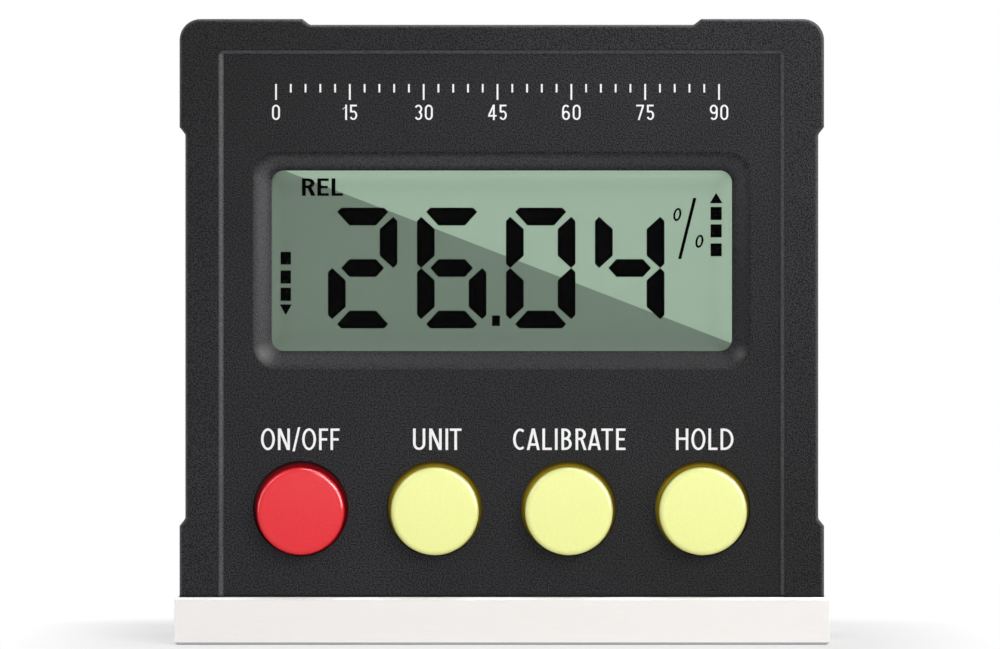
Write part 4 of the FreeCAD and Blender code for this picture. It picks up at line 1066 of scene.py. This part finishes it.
ARROW_LEFT = 6.0 * MM
ARROW_NECK = 12.0 * MM
ARROW_TIP = 16.0 * MM
ARROW_LEVEL = (door_low.z + door_high.z) / 2
ARROW_HALF = 3.0 * MM
ARROW_RAISE = 0.25 * MM


def make_door_arrow():
    """A raised and polished arrow on the battery door, towards the side to which it slides open."""
    polish = make_moulded("polished_abs", (0.05, 0.05, 0.053), (0.07, 0.07, 0.073), (0.2, 0.3),
                          GRAIN, 0.002 * MM, 0.3)
    shaft = ARROW_HALF / 3
    low, high = ARROW_LEVEL - ARROW_HALF, ARROW_LEVEL + ARROW_HALF
    outlines = [
        box_outline(ARROW_LEFT, ARROW_LEVEL - shaft, ARROW_NECK, ARROW_LEVEL + shaft),
        [(ARROW_NECK, low), (ARROW_TIP, ARROW_LEVEL), (ARROW_NECK, high)],
    ]
    add_plates("door_arrow", outlines, DOOR_Y + ARROW_RAISE, ARROW_RAISE, polish, "door")


# --- display

DISPLAY_PIXEL = pixel_at(LCD_FACE_Y)

# The digits: their left pixel columns, their box, and where the bevels of the segments lie in it.
READING = "2604"
DIGIT_LEFTS = (328, 417, 506, 595)
DIGIT_TOP = row_of(207.7)
DIGIT_WIDTH = 69.4 * DISPLAY_PIXEL
DIGIT_HEIGHT = 120.6 * DISPLAY_PIXEL
SEGMENT = 17.7 * DISPLAY_PIXEL
SEGMENT_TIP = 0.40 * MM
SEGMENT_REACH = 0.87 * MM
SEGMENT_INNER = 2.04 * MM
SEGMENT_JOIN = 1.18 * MM
DIGIT_SEGMENTS = {
    "0": ("top", "left_top", "right_top", "left_foot", "right_foot", "foot"),
    "2": ("top", "right_top", "middle", "left_foot", "foot"),
    "4": ("left_top", "middle", "right_top", "right_foot"),
    "6": ("top", "left_top", "middle", "left_foot", "right_foot", "foot"),
}

# The pixel columns and rows of the decimal point.
POINT_COLUMNS = (492, 500)
POINT_ROWS = (315.5, 326)

# For each column of level marks: its pixel columns, the top and foot rows of its squares, and the
# rows of its arrow head's tip and shoulder. The head is a little wider on each side.
LEVEL_MARKS = {
    "down_marks": ((280.6, 291), ((251.8, 264.5), (270.4, 283.5), (287.7, 300.9)), (315, 304.4)),
    "up_marks": ((710.6, 721.7), ((206.9, 220), (224.3, 237.4), (243.4, 256.3)), (192.8, 203.2)),
}
HEAD_WIDER = 0.8

# The pixels of the percent sign's stroke at its foot and head, and of its zeros' centres.
PERCENT_FOOT = (678, 259)
PERCENT_HEAD = (693.2, 198)
PERCENT_ZEROS = ((677.3, 214.5), (699.4, 241.3))
PERCENT_STROKE = 3.3 * DISPLAY_PIXEL
PERCENT_HAIR = 2.1 * DISPLAY_PIXEL
PERCENT_RADII = (4.0 * DISPLAY_PIXEL, 6.6 * DISPLAY_PIXEL)
PERCENT_LEAN = 0.15

# The pixel columns and rows of the mark over the reading, and how much bolder its strokes are.
RELATIVE_COLUMNS = (302, 343)
RELATIVE_ROWS = (178.4, 195.8)
BOLDER = 0.8 * DISPLAY_PIXEL


def segment_outlines():
    """The seven segments of a digit, from the top left corner of its box, x right and z down."""
    wide, tall, thick = DIGIT_WIDTH, DIGIT_HEIGHT, SEGMENT
    tip, reach, inner, join = SEGMENT_TIP, SEGMENT_REACH, SEGMENT_INNER, SEGMENT_JOIN
    start = reach + tip
    waist = tall / 2
    top = [(start, 0), (wide - start, 0), (wide - reach, tip),
           (wide - inner, thick), (inner, thick), (reach, tip)]
    right = [(wide - tip, reach), (wide, start), (wide, waist - tip),
             (wide - tip, waist), (wide - thick, waist - join), (wide - thick, inner)]
    middle = [(start, waist), (inner, waist - thick / 2), (wide - inner, waist - thick / 2),
              (wide - start, waist), (wide - inner, waist + thick / 2), (inner, waist + thick / 2)]

    def mirrored(outline):
        return [(wide - x, z) for x, z in outline]

    def turned_down(outline):
        return [(x, tall - z) for x, z in outline]

    return {
        "top": top,
        "middle": middle,
        "foot": turned_down(top),
        "right_top": right,
        "left_top": mirrored(right),
        "right_foot": turned_down(right),
        "left_foot": mirrored(turned_down(right)),
    }


def pixel_box(columns, rows):
    """The outline of a box on the display, from its pixel columns and its top and foot rows."""
    left, right = (column_of(pixel) for pixel in columns)
    top, foot = (row_of(pixel) for pixel in rows)
    return box_outline(left, foot, right, top)


def add_display_mark(name, outlines, ink):
    add_plates(name, outlines, LCD_FACE_Y, 2 * INK, ink, "housing")


def make_digits(ink):
    """The reading on the display."""
    shapes = segment_outlines()
    outlines = []
    for digit, pixel in zip(READING, DIGIT_LEFTS):
        left = column_of(pixel)
        for name in DIGIT_SEGMENTS[digit]:
            outlines.append([(left + x, DIGIT_TOP - z) for x, z in shapes[name]])
    outlines.append(pixel_box(POINT_COLUMNS, POINT_ROWS))
    add_display_mark("reading", outlines, ink)


def make_level_marks(ink):
    """Two columns of square marks, each with a wider arrow head at one end."""
    for name, ((left, right), squares, (tip, shoulder)) in LEVEL_MARKS.items():
        outlines = [pixel_box((left, right), rows) for rows in squares]
        shoulder_z = row_of(shoulder)
        outlines.append([
            (column_of(left - HEAD_WIDER), shoulder_z),
            (column_of(right + HEAD_WIDER), shoulder_z),
            (column_of((left + right) / 2), row_of(tip)),
        ])
        add_display_mark(name, outlines, ink)


def make_percent_sign(ink):
    """A slanting stroke between two thin zeros."""
    foot, low = column_of(PERCENT_FOOT[0]), row_of(PERCENT_FOOT[1])
    head, high = column_of(PERCENT_HEAD[0]), row_of(PERCENT_HEAD[1])
    outlines = [slant(foot, head, low, high, PERCENT_STROKE)]
    hairs = (PERCENT_HAIR, PERCENT_HAIR)
    for column, row in PERCENT_ZEROS:
        centre = (column_of(column), row_of(row))
        for start in (0, 180):
            outlines.append(bow(centre, PERCENT_RADII, start, start + 180, hairs, PERCENT_LEAN))
    add_display_mark("percent_mark", outlines, ink)


def bolder(outlines, growth):
    """The outlines laid down four times, a little apart, which widens every stroke."""
    return [[(x + side * growth / 2, z + rise * growth / 2) for x, z in outline]
            for side in SIDES for rise in SIDES for outline in outlines]


def make_relative_mark(ink):
    """The bold letters over the reading."""
    left, right = (column_of(pixel) for pixel in RELATIVE_COLUMNS)
    top, foot = (row_of(pixel) for pixel in RELATIVE_ROWS)
    word = word_outlines("REL", left + BOLDER / 2, foot + BOLDER / 2, top - foot - BOLDER,
                         right - left - BOLDER)
    add_display_mark("relative_mark", bolder(word, BOLDER), ink)


def make_display_marks():
    ink = make_print("segment_ink", (0.001, 0.0012, 0.001), 0.0)
    make_digits(ink)
    make_percent_sign(ink)
    make_level_marks(ink)
    make_relative_mark(ink)


# --- keys

FLANGE_BACK_Y = KEY_BACK_Y - 0.35 * MM
FLANGE_FRONT_Y = FLANGE_BACK_Y - 0.8 * MM
FLANGE_RADIUS = 4.97 * MM
STEM_RADIUS = 2.0 * MM
CAP_ROUND = 0.55 * MM
ROUND_STEPS = 8
TURN_STEPS = 96
TURN_CREASE_ANGLE = 35
KEYS = (
    ("power", -1.5 * KEY_PITCH, "red_plastic"),
    ("unit", -0.5 * KEY_PITCH, "yellow_plastic"),
    ("calibrate", 0.5 * KEY_PITCH, "yellow_plastic"),
    ("hold", 1.5 * KEY_PITCH, "yellow_plastic"),
)
DOME_THICKNESS = 0.1 * MM
DOME_STEPS = 6


def key_profile():
    """Radius and Y from the middle of the key's back, round its rim, to the middle of its face."""
    profile = [
        (0.0, KEY_BACK_Y),
        (STEM_RADIUS, KEY_BACK_Y),
        (STEM_RADIUS, FLANGE_BACK_Y),
        (FLANGE_RADIUS, FLANGE_BACK_Y),
        (FLANGE_RADIUS, FLANGE_FRONT_Y),
        (CAP_RADIUS, FLANGE_FRONT_Y),
    ]
    for step in range(ROUND_STEPS + 1):
        angle = math.pi / 2 * step / ROUND_STEPS
        radius = CAP_RADIUS - CAP_ROUND + CAP_ROUND * math.cos(angle)
        profile.append((radius, KEY_FACE_Y + CAP_ROUND - CAP_ROUND * math.sin(angle)))
    profile.append((0.0, KEY_FACE_Y))
    return profile


def add_turned(name, profile, x, material):
    """A solid turned about a line along Y at the keys' level, from a profile of (radius, y)."""
    def build(shape):
        angles = [2 * math.pi * step / TURN_STEPS for step in range(TURN_STEPS)]
        rows = []
        for radius, y in profile:
            if radius == 0.0:
                rows.append([shape.verts.new((x, y, KEY_LEVEL))] * TURN_STEPS)
                continue
            places = [(x + radius * math.cos(a), y, KEY_LEVEL + radius * math.sin(a)) for a in angles]
            rows.append([shape.verts.new(place) for place in places])
        for row, following in zip(rows, rows[1:]):
            for step in range(TURN_STEPS):
                after = (step + 1) % TURN_STEPS
                corners = (row[step], row[after], following[after], following[step])
                shape.faces.new(list(dict.fromkeys(corners)))
        for face in shape.faces:
            face.smooth = True

    piece = add_object(name, build, material)
    piece.data.set_sharp_from_angle(angle=math.radians(TURN_CREASE_ANGLE))
    return piece


def make_key(name, x, material):
    """A finely rounded key that stands for the model's own."""
    piece = add_turned(f"{name}_cap", key_profile(), x, material)
    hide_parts(f"{name}_button")
    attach(piece, f"{name}_key")


def make_snap_dome(name, x, material):
    """The spring dome behind a key."""
    (low_x, front_y, _), (high_x, back_y, _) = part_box(f"{name}_dome")
    reach = (high_x - low_x) / 2
    rise = back_y - front_y - DOME_THICKNESS
    lower = []
    for step in range(DOME_STEPS + 1):
        share = step / DOME_STEPS
        lower.append((reach * share, back_y - rise * math.cos(math.pi / 2 * share)))
    upper = [(radius, y - DOME_THICKNESS) for radius, y in lower]
    piece = add_turned(f"{name}_spring_dome", lower + upper[::-1], x, material)
    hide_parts(f"{name}_dome")
    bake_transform(piece)


# --- light and camera

# How far the object reaches to a side and to the front, how far from there the shadow on the
# floor shows, and how much white is in it at most.
FOOT_REACHES = (base_high.x, -KEY_FACE_Y)
SHADOW_REACH = 16.0 * MM
SHADOW_LIFT = 0.5

# Half the floor's width, and how far it lies under the foot.
FLOOR_HALF = 4.0
FLOOR_DROP = 0.02 * MM


def beyond(tree, place, reach):
    """How far a place lies past a reach, on either side of the middle."""
    return most(tree, [minus(tree, sums(tree, "ABSOLUTE", place), reach)])


def make_floor():
    """A wide white floor that keeps the object's shadow close about its foot."""
    def build(shape):
        corners = box_outline(-FLOOR_HALF, -FLOOR_HALF, FLOOR_HALF, FLOOR_HALF)
        shape.faces.new([shape.verts.new((x, y, -FLOOR_DROP)) for x, y in corners])

    material, tree = new_material("floor_paint")
    set_shader(tree, Base_Color=(0.9, 0.9, 0.9, 1.0), Roughness=0.9, Specular_IOR_Level=0.0)
    x, y, _ = axes(tree)
    away = length_of(tree, beyond(tree, x, FOOT_REACHES[0]), beyond(tree, y, FOOT_REACHES[1]))
    white = span(tree, away, SHADOW_LIFT, 1.0, 0.0, SHADOW_REACH)
    direct = met_by(tree, "Camera", "Glossy")
    glow = add_node(tree, "ShaderNodeEmission", Strength=1.0)
    mix = tree.nodes.new("ShaderNodeMixShader")
    tree.links.new(times(tree, direct, white), mix.inputs["Fac"])
    tree.links.new(shader_of(tree).outputs["BSDF"], mix.inputs[1])
    tree.links.new(glow.outputs["Emission"], mix.inputs[2])
    tree.links.new(mix.outputs["Shader"], tree.nodes["Material Output"].inputs["Surface"])
    add_object("floor", build, material)


WORLD_LIGHT = 0.36


def make_world():
    """Even light from all round, and plain white where the camera, metal or glass sees it."""
    world = bpy.data.worlds.new("studio")
    world.use_nodes = True
    tree = world.node_tree
    background = tree.nodes["Background"]
    set_values(background, Color=(1.0, 1.0, 1.0, 1.0))
    direct = met_by(tree, "Camera", "Glossy", "Transmission")
    tree.links.new(span(tree, direct, WORLD_LIGHT, 1.0), background.inputs["Strength"])
    bpy.context.scene.world = world


LIT_PLACE = Vector((0.0, 0.0, 0.03))


def add_softbox(name, place, width, height, watts):
    """A large rectangular lamp that faces the object."""
    lamp = bpy.data.lights.new(name, "AREA")
    lamp.shape = "RECTANGLE"
    lamp.size = width
    lamp.size_y = height
    lamp.energy = watts
    thing = bpy.data.objects.new(name, lamp)
    thing.location = place
    thing.rotation_euler = (LIT_PLACE - Vector(place)).to_track_quat("-Z", "Y").to_euler()
    bpy.context.scene.collection.objects.link(thing)
    return thing


# The place, the width, the height and the power of the lamp that shapes the object.
KEY_LIGHT = ((0.35, -0.55, 0.5), 0.4, 0.4, 2.4)

# The place and the power of each fill light.
FILL_SIZE = 0.3
FILLS = {
    "front_fill": ((0.03, -0.62, 0.06), 1.6),
    "back_fill": ((-0.1, 0.6, 0.25), 1.2),
    "left_fill": ((-0.6, 0.1, 0.2), 0.5),
    "right_fill": ((0.6, 0.1, 0.2), 0.15),
}

# The place, the width and the power of each sheen.
SHEEN_HEIGHT = 0.3
SHEENS = {
    "right_sheen": ((0.42, -0.17, 0.2), 0.3, 3.9),
    "left_sheen": ((-0.45, -0.03, 0.12), 0.14, 0.6),
    "top_sheen": ((0.1, 0.05, 0.5), 0.3, 3.6),
    "corner_sheen": ((0.34, -0.3, 0.42), 0.25, 3.2),
    "faint_sheen": ((-0.38, -0.23, 0.42), 0.15, 0.9),
}


def make_lights():
    """One lamp shapes the object, fills light its four sides, and sheens show in reflections only."""
    add_softbox("key_light", *KEY_LIGHT)
    for name, (place, watts) in FILLS.items():
        fill = add_softbox(name, place, FILL_SIZE, FILL_SIZE, watts)
        fill.visible_glossy = False
    for name, (place, width, watts) in SHEENS.items():
        sheen = add_softbox(name, place, width, SHEEN_HEIGHT, watts)
        sheen.visible_diffuse = False
        sheen.data.cycles.max_bounces = 0


SENSOR_WIDTH = 36.0
CLIP_START = 0.01


def make_camera():
    """A camera as wide as the photograph at the panel, square to it."""
    camera = bpy.data.cameras.new("camera")
    camera.sensor_width = SENSOR_WIDTH
    camera.lens = SENSOR_WIDTH * CAMERA_DISTANCE / (PHOTO_WIDTH * PIXEL)
    camera.clip_start = CLIP_START
    thing = bpy.data.objects.new("camera", camera)
    thing.location = (CAMERA_X, PANEL_Y - CAMERA_DISTANCE, CAMERA_Z)
    thing.rotation_euler = (math.pi / 2, 0.0, 0.0)
    bpy.context.scene.collection.objects.link(thing)
    bpy.context.scene.camera = thing


# --- scene

make_camera()
make_world()
make_lights()
make_floor()
finishes = dress_cad_nodes()
print_white = make_print("white_ink", (0.9, 0.9, 0.91), 0.2)
make_legends(print_white)
make_degree_scale(print_white)
make_door_arrow()
make_display_marks()
for name, x, slot in KEYS:
    make_key(name, x, finishes[slot])
    make_snap_dome(name, x, finishes["nickel_steel"])
bpy.context.scene.view_settings.view_transform = "Standard"
